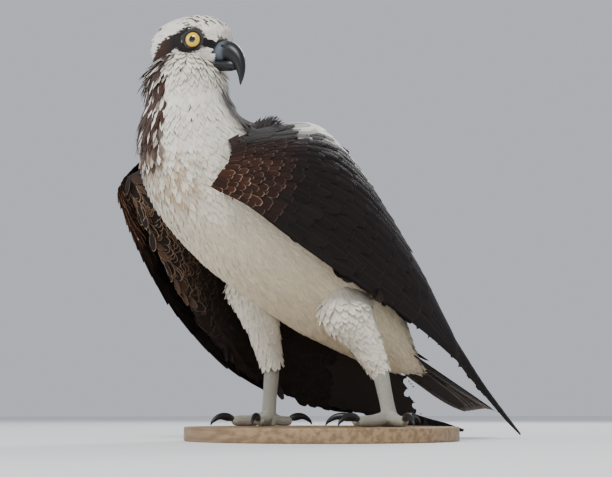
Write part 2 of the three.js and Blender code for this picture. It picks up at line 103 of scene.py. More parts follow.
# %% Colours, materials and bumps
def paint(code):
    """A colour as seen, such as "#e9e4d6", in the linear numbers that Blender works with."""
    seen = [int(code[k : k + 2], 16) / 255 for k in (1, 3, 5)]
    return tuple([c / 12.92 if c <= 0.04045 else ((c + 0.055) / 1.055) ** 2.4 for c in seen] + [1.0])


def mix_colour(factor, first, second, blend="MIX"):
    """Two colours mixed by factor. A Mix node keeps its colours at inputs 6 and 7 and output 2."""
    nodes = factor if isinstance(factor, Field) else first
    settings = {"data_type": "RGBA", "blend_type": blend}
    return nodes.node("ShaderNodeMix", settings, {0: factor, 6: first, 7: second}, 2)


def noise_field(field, scale, detail=3.0, **inputs):
    return field.node("ShaderNodeTexNoise", {}, {"Scale": scale, "Detail": detail, **inputs})


def bump(height, strength, distance, **settings):
    inputs = {"Height": height, "Strength": strength, "Distance": distance}
    return height.node("ShaderNodeBump", settings, inputs)


def feed(material, **values):
    """Sets or links sockets of the main shader, named with _ in place of a space."""
    tree = material.node_tree
    for name, value in values.items():
        put(tree, tree.nodes["Principled BSDF"].inputs[name.replace("_", " ")], value)


def new_material(name, roughness, **values):
    """A material, and an empty Field from which its nodes are made."""
    material = bpy.data.materials.new(name)
    material.use_nodes = True
    feed(material, Roughness=roughness, **values)
    return material, Field(material.node_tree, None)


print("shader helpers ready")

# %% [markdown]
# Most of the bird's body is a loft: rings along a curved spine, each with its own
# half width and its own reach up and down. The same stations as in the CAD file
# are used here, in millimetres, so skin and feathers follow the solids exactly.
# Feathers could be cast onto the solids by rays, but a formula also tells which
# way the body runs at each root, and that is the way in which feathers lie.

# %% Curves and lofts
MM = 0.001
bird_place = np.array([-10.0, -25.0, 0.0])
sole_level = 14.3


def through(points, t):
    """A Catmull-Rom curve through points, read at values of t from 0 to 1."""
    p = np.asarray(points, float)
    p = np.vstack([2 * p[0] - p[1], p, 2 * p[-1] - p[-2]])
    place = np.clip(np.asarray(t, float), 0, 1) * (len(p) - 3)
    k = np.minimum(place.astype(int), len(p) - 4)
    w = (place - k)[..., None]
    a, b, c, d = p[k], p[k + 1], p[k + 2], p[k + 3]
    slope_b, slope_c = 0.5 * (c - a), 0.5 * (d - b)
    return (
        (2 * w**3 - 3 * w**2 + 1) * b
        + (w**3 - 2 * w**2 + w) * slope_b
        + (3 * w**2 - 2 * w**3) * c
        + (w**3 - w**2) * slope_c
    )


def unit(v):
    return v / np.maximum(np.linalg.norm(v, axis=-1, keepdims=True), 1e-9)


class Loft:
    """A body along a spine. Its place takes t along the spine and a turn round it."""

    def __init__(self, spine, sizes, across, turned=0.0, moved=(0, 0, 0)):
        self.spine, self.sizes = spine, sizes
        self.across = np.array(across, float)
        c, s = math.cos(turned), math.sin(turned)
        self.rotation = np.array([[c, -s, 0], [s, c, 0], [0, 0, 1]])
        self.moved = np.array(moved, float)

    def place(self, t, turn):
        t, turn = np.broadcast_arrays(np.asarray(t, float), np.asarray(turn, float))
        inner = np.clip(t, 0.002, 0.998)
        along = unit(through(self.spine, inner + 0.001) - through(self.spine, inner - 0.001))
        up = unit(np.cross(np.broadcast_to(self.across, along.shape), along))
        side = unit(np.cross(up, along))
        size = through(self.sizes, t)
        rise = np.sin(turn)
        reach = np.where(rise > 0, size[..., 1], size[..., 2])
        sideways = side * (np.cos(turn) * size[..., 0])[..., None]
        local = through(self.spine, t) + sideways + up * (rise * reach)[..., None]
        return local @ self.rotation.T + self.moved

    def slope(self, t, turn, reach):
        """From a little before t to a little after it."""
        return self.place(np.clip(t + reach, 0, 1), turn) - self.place(np.clip(t - reach, 0, 1), turn)

    def normal(self, t, turn):
        round_it = self.place(t, turn + 0.02) - self.place(t, turn - 0.02)
        out = unit(np.cross(self.slope(t, turn, 0.004), round_it))
        middle = through(self.spine, t) @ self.rotation.T + self.moved
        facing = np.sum(out * (self.place(t, turn) - middle), axis=-1, keepdims=True)
        return out * np.where(facing < 0, -1, 1)

    def along(self, t, turn):
        return unit(self.slope(t, turn, 0.01))


# %% [markdown]
# Trunk and head are two such lofts. The trunk runs from the rump over back and
# breast up into the neck, and the head sits on it, turned to the bird's left.

# %% Trunk and head
# Each trunk station is y and z of the spine, then half width, reach up and reach
# down. Head stations start with x and z, in a frame that turns with the head.
trunk_stations = [
    (162, 76, 6, 3, 4), (128, 94, 27, 20, 22), (85, 124, 46, 48, 39), (40, 159, 60, 74, 56),
    (-5, 194, 68, 92, 66), (-62, 229, 69, 94, 66), (-105, 261, 60, 80, 60), (-124, 297, 49, 56, 52),
    (-131, 330, 39, 44, 38), (-133, 360, 34, 35, 31), (-133, 384, 8, 8, 8),
]
head_stations = [
    (-51, -8, 5, 4, 6), (-43, -6, 20, 21, 22), (-28, -3, 28, 30, 30), (-11, -1, 29, 31, 27),
    (4, -1, 25.5, 29, 25), (15, -3, 18, 23, 22.5), (23, -7, 10.5, 13, 15.5), (28, -8, 4, 4, 4),
]
head_middle = np.array([17.0, -121.0, 383.0])
head_heading = math.radians(25)
head_turned = {"turned": head_heading, "moved": head_middle + bird_place}
trunk_spine = [(0, y, z) for y, z, *_ in trunk_stations]
head_spine = [(x, 0, z) for x, z, *_ in head_stations]
trunk = Loft(trunk_spine, [s[2:] for s in trunk_stations], (-1, 0, 0), moved=bird_place)
head = Loft(head_spine, [s[2:] for s in head_stations], (0, -1, 0), **head_turned)
print("trunk and head lofts", trunk.place(0.5, 0.0).round(1), head.place(0.5, 0.0).round(1))

# %% [markdown]
# The camera stands low, near the floor, to the left of the way the bird faces,
# and looks slightly up, as the photo does. A wide lens close by would swell the
# bill and shrink the tail, so a long lens keeps the bird's proportions. The
# picture spans a little over 0.6 m at the bird.

# %% Camera
view_azimuth = math.radians(55)
view_drop = math.radians(8.6)
view_distance = 1.2
picture_width = 632
sensor_width = 36
aim = Vector((-0.0089, -0.0128, 0.2057))
level = math.cos(view_drop)
towards = Vector((math.sin(view_azimuth) * level, -math.cos(view_azimuth) * level, -math.sin(view_drop)))
camera_data = bpy.data.cameras.new("camera")
camera_data.sensor_width = sensor_width
camera_data.lens = sensor_width * view_distance / (picture_width * MM)
camera = bpy.data.objects.new("camera", camera_data)
bpy.context.scene.collection.objects.link(camera)
camera.location = aim + towards * view_distance
camera.rotation_euler = (aim - camera.location).to_track_quat("-Z", "Y").to_euler()
bpy.context.scene.camera = camera
print("camera at", [round(c, 3) for c in camera.location])

# %% [markdown]
# The bird is lit as a museum piece is: a key lamp from the camera's side and
# above, a wide, weak one from the front, and one behind that draws the edges of
# the dark wings. One lamp alone would lose the dark feathers in shadow. A pale
# sky fills what is left, and the floor is pale and plain.

# %% Floor and light
floor_colour = (0.82, 0.82, 0.81, 1)
sky_colour = (0.86, 0.9, 1.0, 1)
sky_strength = 0.62
lit_point = Vector((0, 0, 0.2))


def add_floor():
    shape = bmesh.new()
    bmesh.ops.create_grid(shape, x_segments=1, y_segments=1, size=12)
    data = bpy.data.meshes.new("floor")
    shape.to_mesh(data)
    shape.free()
    floor = bpy.data.objects.new("floor", data)
    bpy.context.scene.collection.objects.link(floor)
    material, _ = new_material("floor_paint", 0.9, Base_Color=floor_colour)
    data.materials.append(material)


def add_lamp(name, place, size, watts):
    data = bpy.data.lights.new(name, "AREA")
    data.size = size
    data.energy = watts
    lamp = bpy.data.objects.new(name, data)
    bpy.context.scene.collection.objects.link(lamp)
    lamp.location = place
    lamp.rotation_euler = (lit_point - Vector(place)).to_track_quat("-Z", "Y").to_euler()


add_floor()
add_lamp("key", (1.7, -1.5, 2.3), size=0.9, watts=72)
add_lamp("fill", (-0.6, -2.4, 1.2), size=1.8, watts=22)
add_lamp("rim", (-1.4, 1.8, 1.9), size=1.0, watts=34)
world = bpy.data.worlds.new("studio")
world.use_nodes = True
world.node_tree.nodes["Background"].inputs["Color"].default_value = sky_colour
world.node_tree.nodes["Background"].inputs["Strength"].default_value = sky_strength
bpy.context.scene.world = world
print("floor, three lamps and a pale sky")

# %% [markdown]
# The base is a turned disc of oiled wood. A cylinder would do, but its profile
# is spun once round the middle here, as a turner would cut it, and its two rims
# are bevelled so that they catch the light. The grain is noise, stretched long
# along X, with finer noise for the pores, so it needs no picture of wood.

# %% Turned wooden base
base_radius = 0.138
base_top = 0.014
rim_bevel = 0.0018
full_turn = {"cent": (0, 0, 0), "axis": (0, 0, 1), "angle": math.tau, "use_merge": True}
same_spot = 1e-6


def link(name, shape, material):
    data = bpy.data.meshes.new(name)
    shape.to_mesh(data)
    shape.free()
    piece = bpy.data.objects.new(name, data)
    bpy.context.scene.collection.objects.link(piece)
    data.materials.append(material)
    data.shade_smooth()
    return piece


def wood_material():
    material, field = new_material("oiled_wood", 0.5)
    place = field.node("ShaderNodeTexCoord", output=3)
    stretched = field.node("ShaderNodeMapping", {}, {"Vector": place, "Scale": (9.0, 160.0, 160.0)})
    grain = noise_field(field, 1.4, 6.0, Vector=stretched)
    pores = noise_field(field, 9.0, Vector=stretched)
    wood = mix_colour(grain.step(0.35, 0.65), paint("#7c6245"), paint("#9c8260"))
    feed(material, Base_Color=wood, Roughness=0.4 + grain * 0.25, Normal=bump(pores, 0.12, 0.0006))
    return material


def turned_base():
    shape = bmesh.new()
    profile = [(0, 0), (base_radius, 0), (base_radius, base_top), (0, base_top)]
    corners = [shape.verts.new((x, 0, z)) for x, z in profile]
    edges = [shape.edges.new(pair) for pair in zip(corners, corners[1:])]
    bmesh.ops.spin(shape, geom=corners + edges, steps=96, **full_turn)
    bmesh.ops.remove_doubles(shape, verts=shape.verts, dist=same_spot)
    rims = [e for e in shape.edges if e.is_manifold and e.calc_face_angle(0) > 1]
    rounding = {"segments": 4, "profile": 0.5, "material": -1, "affect": "EDGES", "clamp_overlap": True}
    bmesh.ops.bevel(shape, geom=rims, offset=rim_bevel, **rounding)
    bmesh.ops.recalc_face_normals(shape, faces=shape.faces)
    return link("wooden_base", shape, wood_material())


wooden_base = turned_base()
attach(wooden_base, "root")
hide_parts("stand_base")
print("base faces", len(wooden_base.data.polygons))

# %% [markdown]
# Under the feathers lies one skin. It is a copy of the fleshy solids, merged,
# remeshed into even quads, smoothed and sunk by about two millimetres. The
# solids themselves could stay, but their seams would show. The skin only has to
# close every gap that is seen between feathers, in the feathers' own colours.

# %% Skin from the solids
def copy_of(names):
    shape = bmesh.new()
    for name in names:
        shape.from_mesh(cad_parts[name].data)
    bmesh.ops.remove_doubles(shape, verts=shape.verts, dist=same_spot)
    return shape


def remeshed(name, nodes, material, voxel, rounds, sunk):
    """One smooth mesh over the nodes, its vertices moved in by sunk, in metres."""
    piece = link(name, copy_of(nodes), material)
    piece.data.remesh_voxel_size = voxel
    modifier = piece.modifiers.new("even_quads", "REMESH")
    modifier.mode = "VOXEL"
    modifier.voxel_size = voxel
    bpy.context.view_layer.objects.active = piece
    with bpy.context.temp_override(object=piece, active_object=piece):
        bpy.ops.object.modifier_apply(modifier=modifier.name)
    shape = bmesh.new()
    shape.from_mesh(piece.data)
    every_way = {"use_axis_x": True, "use_axis_y": True, "use_axis_z": True}
    for _ in range(rounds):
        bmesh.ops.smooth_vert(shape, verts=shape.verts, factor=0.5, **every_way)
    shape.normal_update()
    for vertex in shape.verts:
        vertex.co -= vertex.normal * sunk
    shape.to_mesh(piece.data)
    shape.free()
    piece.data.shade_smooth()
    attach(piece, "root")
    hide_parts(*nodes)
    print(name, "faces", len(piece.data.polygons))
    return piece


def skin_material(name, code):
    material, field = new_material(name, 0.9)
    down = noise_field(field, 220.0)
    shaded = [c * 0.72 for c in paint(code)[:3]] + [1]
    feed(material, Base_Color=mix_colour(down.step(0.3, 0.7), shaded, paint(code)))
    feed(material, Normal=bump(down, 0.4, 0.001))
    return material


white_down = skin_material("white_down", "#cfc8b8")
dark_down = skin_material("dark_down", "#2a211c")
flesh = ["torso", "neck", "head", "thigh_left", "thigh_right"]
skin = remeshed("skin", flesh, white_down, voxel=0.003, rounds=3, sunk=0.0022)

# %% [markdown]
# The eyes look ahead and to the side. Round each of them the skin is drawn in to
# just under the eyeball's surface, so that no pale wall of it shows beside the
# lid. A hole could be cut instead, but its rough edge would be seen.

# %% Eye sockets
eye_centre = np.array([2.0, 19.0, -0.8])
gaze_way = unit(np.array([0.36, 0.92, -0.12]))
socket_reach = 0.012
socket_radius = 0.0082
head_at = Matrix.Translation(Vector((head_middle + bird_place) * MM))
head_matrix = head_at @ Matrix.Rotation(head_heading, 4, "Z")
for sign in (1, -1):
    middle = head_matrix @ Vector(eye_centre * (1, sign, 1) * MM)
    for vertex in skin.data.vertices:
        off = vertex.co - middle
        if off.length < socket_reach:
            vertex.co = middle + off.normalized() * socket_radius
print("eye sockets drawn in")

# %% [markdown]
# Wings and tail have dark beds of their own, smoothed and sunk in the same way,
# but less, because a wing is thin and would vanish if it lost two millimetres.

# %% Beds under the wing and tail feathers
wing_beds = {}
for wing_side in ("left", "right"):
    wing = [f"wing_{wing_side}"]
    bed = remeshed(f"wing_bed_{wing_side}", wing, dark_down, voxel=0.003, rounds=3, sunk=0.0012)
    wing_beds[wing_side] = bed
tail_bed = remeshed("tail_bed", ["tail"], dark_down, voxel=0.002, rounds=2, sunk=0.001)

# %% [markdown]
# Every feather is a thin vane, a few quads long, with its root on the bird. Its
# own map, called vane, runs across it and from root to tip, and colour
# attributes hold the tone of its middle and of its rim. A second map, OFBake,
# gives each feather a small patch where its root lies on the unrolled body.
# Hair strands would be finer but have no flat vane, and thousands of objects
# would be slow, so all feathers of one coat are joined in one mesh.

# %% Feathers as one joined mesh
bake_patch = 0.003


def point_layer(layers, name, kind, field, values):
    layer = layers.new(name, kind, "POINT")
    layer.data.foreach_set(field, values.reshape(-1).astype(np.float32))


def uv_layer(data, name, values):
    data.uv_layers.new(name=name).data.foreach_set("uv", values.reshape(-1).astype(np.float32))


def feather_sheet(name, material, points, tints, rims, fringes, roots, slot_name):
    """points is (feathers, rows, columns, 3) in millimetres, and roots are places on OFBake."""
    count, rows, columns, _ = points.shape
    each = rows * columns
    grid = np.arange(each).reshape(rows, columns)
    quads = np.stack([grid[:-1, :-1], grid[:-1, 1:], grid[1:, 1:], grid[1:, :-1]], axis=-1).reshape(-1, 4)
    faces = (quads[None] + (np.arange(count) * each)[:, None, None]).reshape(-1, 4)
    data = bpy.data.meshes.new(name)
    data.vertices.add(count * each)
    data.vertices.foreach_set("co", (points.reshape(-1) * MM).astype(np.float32))
    data.loops.add(faces.size)
    data.loops.foreach_set("vertex_index", faces.reshape(-1).astype(np.int32))
    data.polygons.add(len(faces))
    data.polygons.foreach_set("loop_start", np.arange(0, faces.size, 4, dtype=np.int32))
    data.update(calc_edges=True)
    across, along = np.meshgrid(np.linspace(0, 1, columns), np.linspace(0, 1, rows))
    vane = np.stack([across, along], axis=-1).reshape(-1, 2)
    owner, corner = np.divmod(faces.reshape(-1), each)
    uv_layer(data, "OFBake", roots[owner] + (vane[corner] - 0.5) * bake_patch)
    uv_layer(data, "vane", vane[corner])
    for label, values in (("tint", tints), ("rim", rims)):
        opaque = np.concatenate([values, np.ones((count, 1))], axis=1)
        point_layer(data.color_attributes, label, "FLOAT_COLOR", "color", np.repeat(opaque, each, axis=0))
    point_layer(data.attributes, "fringe", "FLOAT", "value", np.repeat(fringes, each))
    data.materials.append(material)
    data.shade_smooth()
    piece = bpy.data.objects.new(name, data)
    bpy.context.scene.collection.objects.link(piece)
    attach(piece, "root")
    print(name, count, "feathers,", 2 * len(faces), "triangles")


# %% [markdown]
# A real vane has a shaft down its middle, barbs that slant from it, and often a
# paler rim that is worn at its edge. All of these are worked out from the vane
# map: distance from the shaft, and distance from root to tip. Pictures of
# feathers would blur close up, while a formula stays sharp at any distance.

# %% Plumage material
shaft_colour = (0.03, 0.02, 0.015, 1)
barb_slant = 0.35


def plume_material(name, barbs, bars=0.0, roughness=0.75, sheen=0.15, shine=0.25):
    """Vane colours with a paler rim, a shaft line, fine barbs and, on the tail, dark bars."""
    material, field = new_material(name, roughness, Specular_IOR_Level=shine, Sheen_Weight=sheen)
    vane = field.node("ShaderNodeUVMap", {"uv_map": "vane"})
    parts = vane.node("ShaderNodeSeparateXYZ", {}, {"Vector": vane})
    along = Field(material.node_tree, parts.socket.node.outputs[1])
    off_shaft = field.math("ABSOLUTE", parts * 2 - 1)
    tint = field.node("ShaderNodeAttribute", {"attribute_name": "tint"})
    rim = field.node("ShaderNodeAttribute", {"attribute_name": "rim"})
    fringe = field.node("ShaderNodeAttribute", {"attribute_name": "fringe"}, output=2)
    to_edge = field.math("MINIMUM", 1.02 - off_shaft, (1.02 - along) * 2.2)
    wear = (noise_field(field, 260.0, 2.0) - 0.5) * 0.12
    edge = 1 - (to_edge + wear).step(fringe * 0.55, fringe * 1.15 + 0.001)
    colour = mix_colour(edge * fringe.math("GREATER_THAN", fringe, 0.01), tint, rim)
    if bars:
        band = field.math("SINE", along * bars * math.tau).step(0.1, 0.7)
        shade = mix_colour(band * 0.5, (1, 1, 1, 1), (0.42, 0.4, 0.4, 1))
        colour = mix_colour(1.0, colour, shade, "MULTIPLY")
    barb = field.math("SINE", (along * barbs - off_shaft * barbs * barb_slant) * math.tau)
    shaft = 1 - off_shaft.step(0.03, 0.09)
    combed = mix_colour((barb * 0.5 + 0.5) * 0.12, colour, (0, 0, 0, 1))
    feed(material, Base_Color=mix_colour(shaft * 0.35, combed, shaft_colour))
    feed(material, Normal=bump(barb * 0.4 + shaft, 0.25, 0.0004))
    return material


white_plume = plume_material("white_plumage", 14)
dark_plume = plume_material("dark_plumage", 22, roughness=0.6, sheen=0.0, shine=0.16)
print("plumage materials ready")

# %% [markdown]
# Body feathers overlap like roof tiles. Rows run round the loft, each shifted by
# half a feather, and every feather points from head to tail. A little chance in
# place and direction keeps the rows from looking knitted. Length, width and lift
# change over the body: tiny on the face, long and loose on nape and thighs.

# %% Tiles of feathers over a loft
def tile(loft, t_range, turn_range, row_gap, side_gap):
    """Staggered (t, turn) places about row_gap by side_gap millimetres apart."""
    first_turn, turned_by = turn_range[0], turn_range[1] - turn_range[0]
    ts = np.linspace(*t_range, 60)
    spine = through(loft.spine, ts)
    steps = np.linalg.norm(np.diff(spine, axis=0), axis=1)
    length = np.concatenate([[0], np.cumsum(steps)])
    places = []
    for row, mm in enumerate(np.arange(0, length[-1], row_gap)):
        t = np.interp(mm, length, ts)
        half_width, up, down = through(loft.sizes, np.array([t]))[0]
        girth = math.pi * (half_width + 0.5 * (up + down)) * turned_by / math.tau
        number = max(int(girth / side_gap), 3)
        turns = first_turn + (np.arange(number) + 0.5 * (row % 2)) / number * turned_by
        places.append(np.column_stack([np.full(number, t), turns]))
    places = np.vstack(places)
    one_row = row_gap / length[-1] * (t_range[1] - t_range[0])
    return places + rng.normal(0, 0.16, places.shape) * [one_row, side_gap / 45]


def stand_feathers(roots, normals, flow, length, width, lift, curl, rows=4, pointed=0.35):
    """Vanes from their roots, along flow, rising by lift at the tip. Sizes in millimetres."""
    cup = 0.16
    count = len(roots)
    along = unit(flow - normals * np.sum(flow * normals, axis=1, keepdims=True))
    swing = rng.normal(0, 0.12, count)[:, None]
    along = unit(along + np.cross(normals, along) * swing)
    side = unit(np.cross(normals, along))
    u = np.array([-1.0, 0.0, 1.0])
    v = np.linspace(0, 1, rows)
    outline = np.clip(np.sqrt(np.clip(1 - np.abs(2 * v**1.15 - 0.9) ** 2.6, 0.02, 1)), 0.3, 1)
    outline[-1] = pointed
    sizes = (length, width, lift, curl)
    length, width, lift, curl = (np.broadcast_to(size, count)[:, None, None] for size in sizes)
    u, v, outline = u[None, None, :], v[None, :, None], outline[None, :, None]
    height = 0.25 + lift * v + curl * v**2 - cup * width * u**2 * 0.5
    forward = length * (v - 0.06 * u**2 * v)
    lateral = width * 0.5 * u * outline
    return (
        roots[:, None, None, :]
        + along[:, None, None, :] * forward[..., None]
        + side[:, None, None, :] * lateral[..., None]
        + normals[:, None, None, :] * height[..., None]
    )


# %% [markdown]
# A coat's colours are blended feather by feather: a base, then one mark after
# another, each with its own mask. A last random step makes every feather a
# little lighter or darker than the next one, as worn and fresh feathers are.

# %% Colours of feathers, and their places on the bake map
def colour_of(code):
    return np.array(paint(code)[:3])


def plain(code, count):
    return np.tile(colour_of(code), (count, 1))


def blend_colours(masks_and_codes, base, count):
    tints = plain(base, count)
    for mask, code in masks_and_codes:
        tints = tints * (1 - mask[:, None]) + colour_of(code) * mask[:, None]
    return tints


def smooth(value, low, high):
    x = np.clip((value - low) / (high - low), 0, 1)
    return x * x * (3 - 2 * x)


def between(angle, low, high, soft):
    return smooth(angle, low - soft, low + soft) * (1 - smooth(angle, high - soft, high + soft))


def vary(tints, amount):
    return np.clip(tints * (1 + rng.normal(0, amount, (len(tints), 1))), 0.002, 1)


def loft_uv(places):
    t, turn = places.T
    return np.column_stack([(turn / math.tau) % 1, np.clip(t, 0, 1)]) * 0.94 + 0.03


# %% [markdown]
# Breast and neck are mostly white, and towards the belly the feathers are
# painted buff: painted shade, warm with light thrown up from below. A faint
# necklace of buff runs across the breast, the back between the wings is dark,
# and a dark brown band comes down the nape, which the turned head winds round
# to the bird's right. Each is a soft mask on height and on the bearing from the
# neck's axis, because a real marking has no sharp line: it is one feather after
# another in the one colour or the other.

# %% Trunk feathers
neck_axis = bird_place[:2] + (0, -133)
clear_of_base = 22
nape_brown = "#3b2217"
white_rim = "#f8f5ef"


def bearing_of(points):
    return np.degrees(np.arctan2(points[:, 1] - neck_axis[1], points[:, 0] - neck_axis[0])) % 360


def trunk_coat():
    places = tile(trunk, (0.02, 0.985), (0, math.tau), 4.2, 3.9)
    places[:, 0] = np.clip(places[:, 0], 0.005, 0.99)
    t, turn = places.T
    roots = trunk.place(t, turn)
    z = roots[:, 2]
    neck_share = smooth(z, 275, 320)
    count = len(roots)
    bearing = bearing_of(roots)
    noise = rng.random(count)
    back = between(turn % math.tau, math.radians(22), math.radians(158), 0.18) * (1 - smooth(z, 335, 360))
    nape = between(bearing + 22 * (noise - 0.5), 110, 300, 5) * smooth(z + 18 * noise, 262, 286)
    nape = nape * (rng.random(count) < 0.84)
    necklace = between(bearing, 225, 345, 12) * smooth(z, 205, 235) * (1 - smooth(z, 268, 292))
    mottle = necklace * (noise < 0.6) * (0.4 + 0.5 * rng.random(count))
    # Painted shade: the lower body is painted warm buff, more so towards the bottom, for an underside lit
    # only by light thrown up from below.
    buff_belly_shade = 0.75 * (1 - smooth(z, 150, 300))
    marks = [(buff_belly_shade, "#d9c49a"), (mottle, "#a98a62"), (nape, nape_brown), (back, "#2c221d")]
    tints = blend_colours(marks, "#efe8d8", count)
    rims = blend_colours([(nape, "#7d563b"), (back, "#5a4a3d")], "#f6f3ec", count)
    fringes = 0.10 + 0.12 * back + 0.05 * nape
    length = 17 - 2 * neck_share + 5 * smooth(-z, -190, -150)
    width = 6.6 - 2.2 * neck_share
    lift = 0.9 + (0.5 * neck_share + 0.9 * rng.random(count)) * (1 - 0.7 * back)
    flow = -trunk.along(t, turn)
    points = stand_feathers(roots, trunk.normal(t, turn), flow, length, width, lift, 0.3, pointed=0.18)
    above_base = points.reshape(count, -1, 3)[:, :, 2].min(axis=1) > clear_of_base
    made = (points, vary(tints, 0.06), rims, fringes, loft_uv(places))
    feather_sheet("coat_trunk", white_plume, *(values[above_base] for values in made), "white_feathers")


trunk_coat()

# %% [markdown]
# The crown and throat are white. A black mask runs from the bill through the eye
# and widens behind it, a dark line marks the gape, and dark streaks mark the
# forehead. Feathers here are about five millimetres long at the bill and twice
# that at the nape, and the rows are dense, because a face shows every gap.

# %% Head feathers
def in_head(points):
    """Millimetres ahead, to the left and up, in the frame that turns with the head."""
    c, s = math.cos(head_heading), math.sin(head_heading)
    x, y, z = (points - head_middle - bird_place).T
    return x * c + y * s, -x * s + y * c, z


def head_coat():
    places = tile(head, (0.015, 0.965), (0, math.tau), 1.7, 1.9)
    places[:, 0] = np.clip(places[:, 0], 0.004, 0.985)
    t, turn = places.T
    roots = head.place(t, turn)
    x, y, z = in_head(roots)
    eye_gap = np.hypot(x - 3.5, z + 1.2)
    off_eyes = (eye_gap > 9.2) | (np.abs(y) < 14)
    on_bill = (x > 20) & (z < 1) & (np.abs(y) < 11) & (z > -28)
    keep = off_eyes & ~on_bill
    count = len(roots)
    noise = rng.random(count)
    line = np.where(x > 0, 0.5 - 0.34 * x, 0.5 + 0.1 * x - 0.014 * x * x) + 3.5 * (noise - 0.5)
    half = np.where(x > 0, 7.0 - 0.12 * x, 6.2 - 0.12 * x)
    band = (1 - smooth(np.abs(z - line), half - 0.8, half + 0.8)) * smooth(np.abs(y), 4, 8)
    ring = (1 - smooth(eye_gap, 11.5, 14.5)) * smooth(np.abs(y), 8, 12)
    gape = (1 - smooth(np.abs(z + 21.5), 0.7, 1.7)) * smooth(x, 5, 8)
    mask = np.maximum(np.maximum(band, ring), gape)
    behind = mask * smooth(-x, 8, 20)
    streaks = smooth(x, -16, 4) * smooth(z, 8, 15) * (np.sin(y * 1.3 + 0.1 * x) > 0.35) * (noise < 0.75)
    back = smooth(-x, 34, 44) * (1 - smooth(z, -14, -4)) * (noise < 0.8)
    browned = behind * (0.4 + 0.6 * noise)
    marks = [(streaks, "#3a2a21"), (back, nape_brown), (mask, "#15100f"), (browned, "#3b2317")]
    tints = blend_colours(marks, "#f1ebdd", count)
    rims = blend_colours([(mask, "#241a16"), (behind, "#5b3b29"), (back, "#5b3b29")], white_rim, count)
    grown = smooth(-x, -10, 34)
    length = 5.4 + 5.0 * grown + 1.5 * smooth(-z, 8, 24)
    width = 2.6 + 1.6 * grown
    lift = 0.35 + 1.7 * smooth(-x, 10, 44) + 0.3 * noise
    flow = -head.along(t, turn)
    points = stand_feathers(roots, head.normal(t, turn), flow, length, width, lift, 0.15, pointed=0.4)
    made = (points, vary(tints, 0.07), rims, np.full(count, 0.1), loft_uv(places))
    feather_sheet("coat_head", white_plume, *(values[keep] for values in made), "white_feathers")


head_coat()

# %% [markdown]
# The nape feathers are lanceolate: long, narrow and pointed, brown or white, and
# they stand off the neck where the head is turned, with a small crest behind.
# They could be longer tiles of the coats above, but as coats of their own they
# can be pointed, and can be brown and white feather by feather, as the real are.

# %% Nape and crest
nape_range = (0.74, 0.975)
crest_range = (0.03, 0.34)
lance_brown = "#37201a"


def nape_coat():
    places = tile(trunk, nape_range, (0, math.tau), 6.2, 3.9)
    bearing = bearing_of(trunk.place(*places.T))
    keep = (bearing > 96) & (bearing + 16 * (rng.random(len(places)) - 0.5) < 301)
    places, bearing = places[keep], bearing[keep]
    t, turn = places.T
    count = len(places)
    noise = rng.random(count)
    brown = (noise < 0.84 - 0.24 * smooth(bearing, 285, 305)).astype(float)
    tints = blend_colours([(brown, lance_brown)], "#e9e0cf", count)
    rims = blend_colours([(brown, "#6f4a33")], "#f7f4ec", count)
    length = 22 + 8 * rng.random(count)
    lift = 1.2 + 1.6 * rng.random(count)
    stance = (trunk.place(t, turn), trunk.normal(t, turn), -trunk.along(t, turn))
    points = stand_feathers(*stance, length, 3.7, lift, 0.4, rows=5, pointed=0.1)
    looks = (vary(tints, 0.14), rims, np.full(count, 0.16))
    feather_sheet("nape_feathers", white_plume, points, *looks, loft_uv(places), "white_feathers")


def crest_coat():
    places = tile(head, crest_range, (math.radians(20), math.radians(160)), 4.5, 4.5)
    t, turn = places.T
    roots = head.place(t, turn)
    count = len(roots)
    low = 1 - smooth(roots[:, 2], 366, 376)
    brown = (rng.random(count) < 0.06 + 0.8 * low).astype(float)
    tints = blend_colours([(brown, lance_brown)], "#efe9dd", count)
    rims = blend_colours([(brown, "#8b6243")], white_rim, count)
    length = 13 + 4 * rng.random(count)
    lift = 1.0 + 1.6 * rng.random(count)
    stance = (roots, head.normal(t, turn), -head.along(t, turn))
    points = stand_feathers(*stance, length, 4.2, lift, 0.4, rows=5, pointed=0.12)
    looks = (vary(tints, 0.1), rims, np.full(count, 0.14))
    feather_sheet("crest_feathers", white_plume, points, *looks, loft_uv(places), "white_feathers")


nape_coat()
crest_coat()

# %% [markdown]
# A folded wing is a curved sheet from wrist to tip. Its sections are curves from
# a lower edge, over a bulge, to an upper edge. The same stations as in the CAD
# file give it, and feathers are laid on it in tiers, wrist feathers on top. A
# sheet by formula serves better than a mesh here: each feather is told where it
# starts and ends along and across the wing, and bends with the wing between.

# %% The sheet of a folded wing
# Each station is the way along from the wrist, then how far out and how far up
# its lower edge, its bulge and its upper edge are.
wing_stations = [
    (-16, (74, -8), (84, 2), (70, 10)), (2, (78, -24), (100, 6), (62, 30)),
    (48, (82, -38), (108, 32), (38, 80)), (94, (83, -44), (112, 54), (24, 122)),
    (140, (83, -44), (110, 60), (18, 124)), (204, (80, -37), (103, 50), (15, 105)),
    (268, (72, -23), (91, 38), (14, 79)), (332, (60, -10), (72, 20), (18, 47)),
    (396, (52, -6), (57, 8), (34, 20)), (446, (47, -5), (49, 3), (38, 11)),
    (486, (42, -2), (43, 1), (39, 4)),
]
wing_reach = 486
wrist_ahead, wing_end = -144, (0, 270, 6)


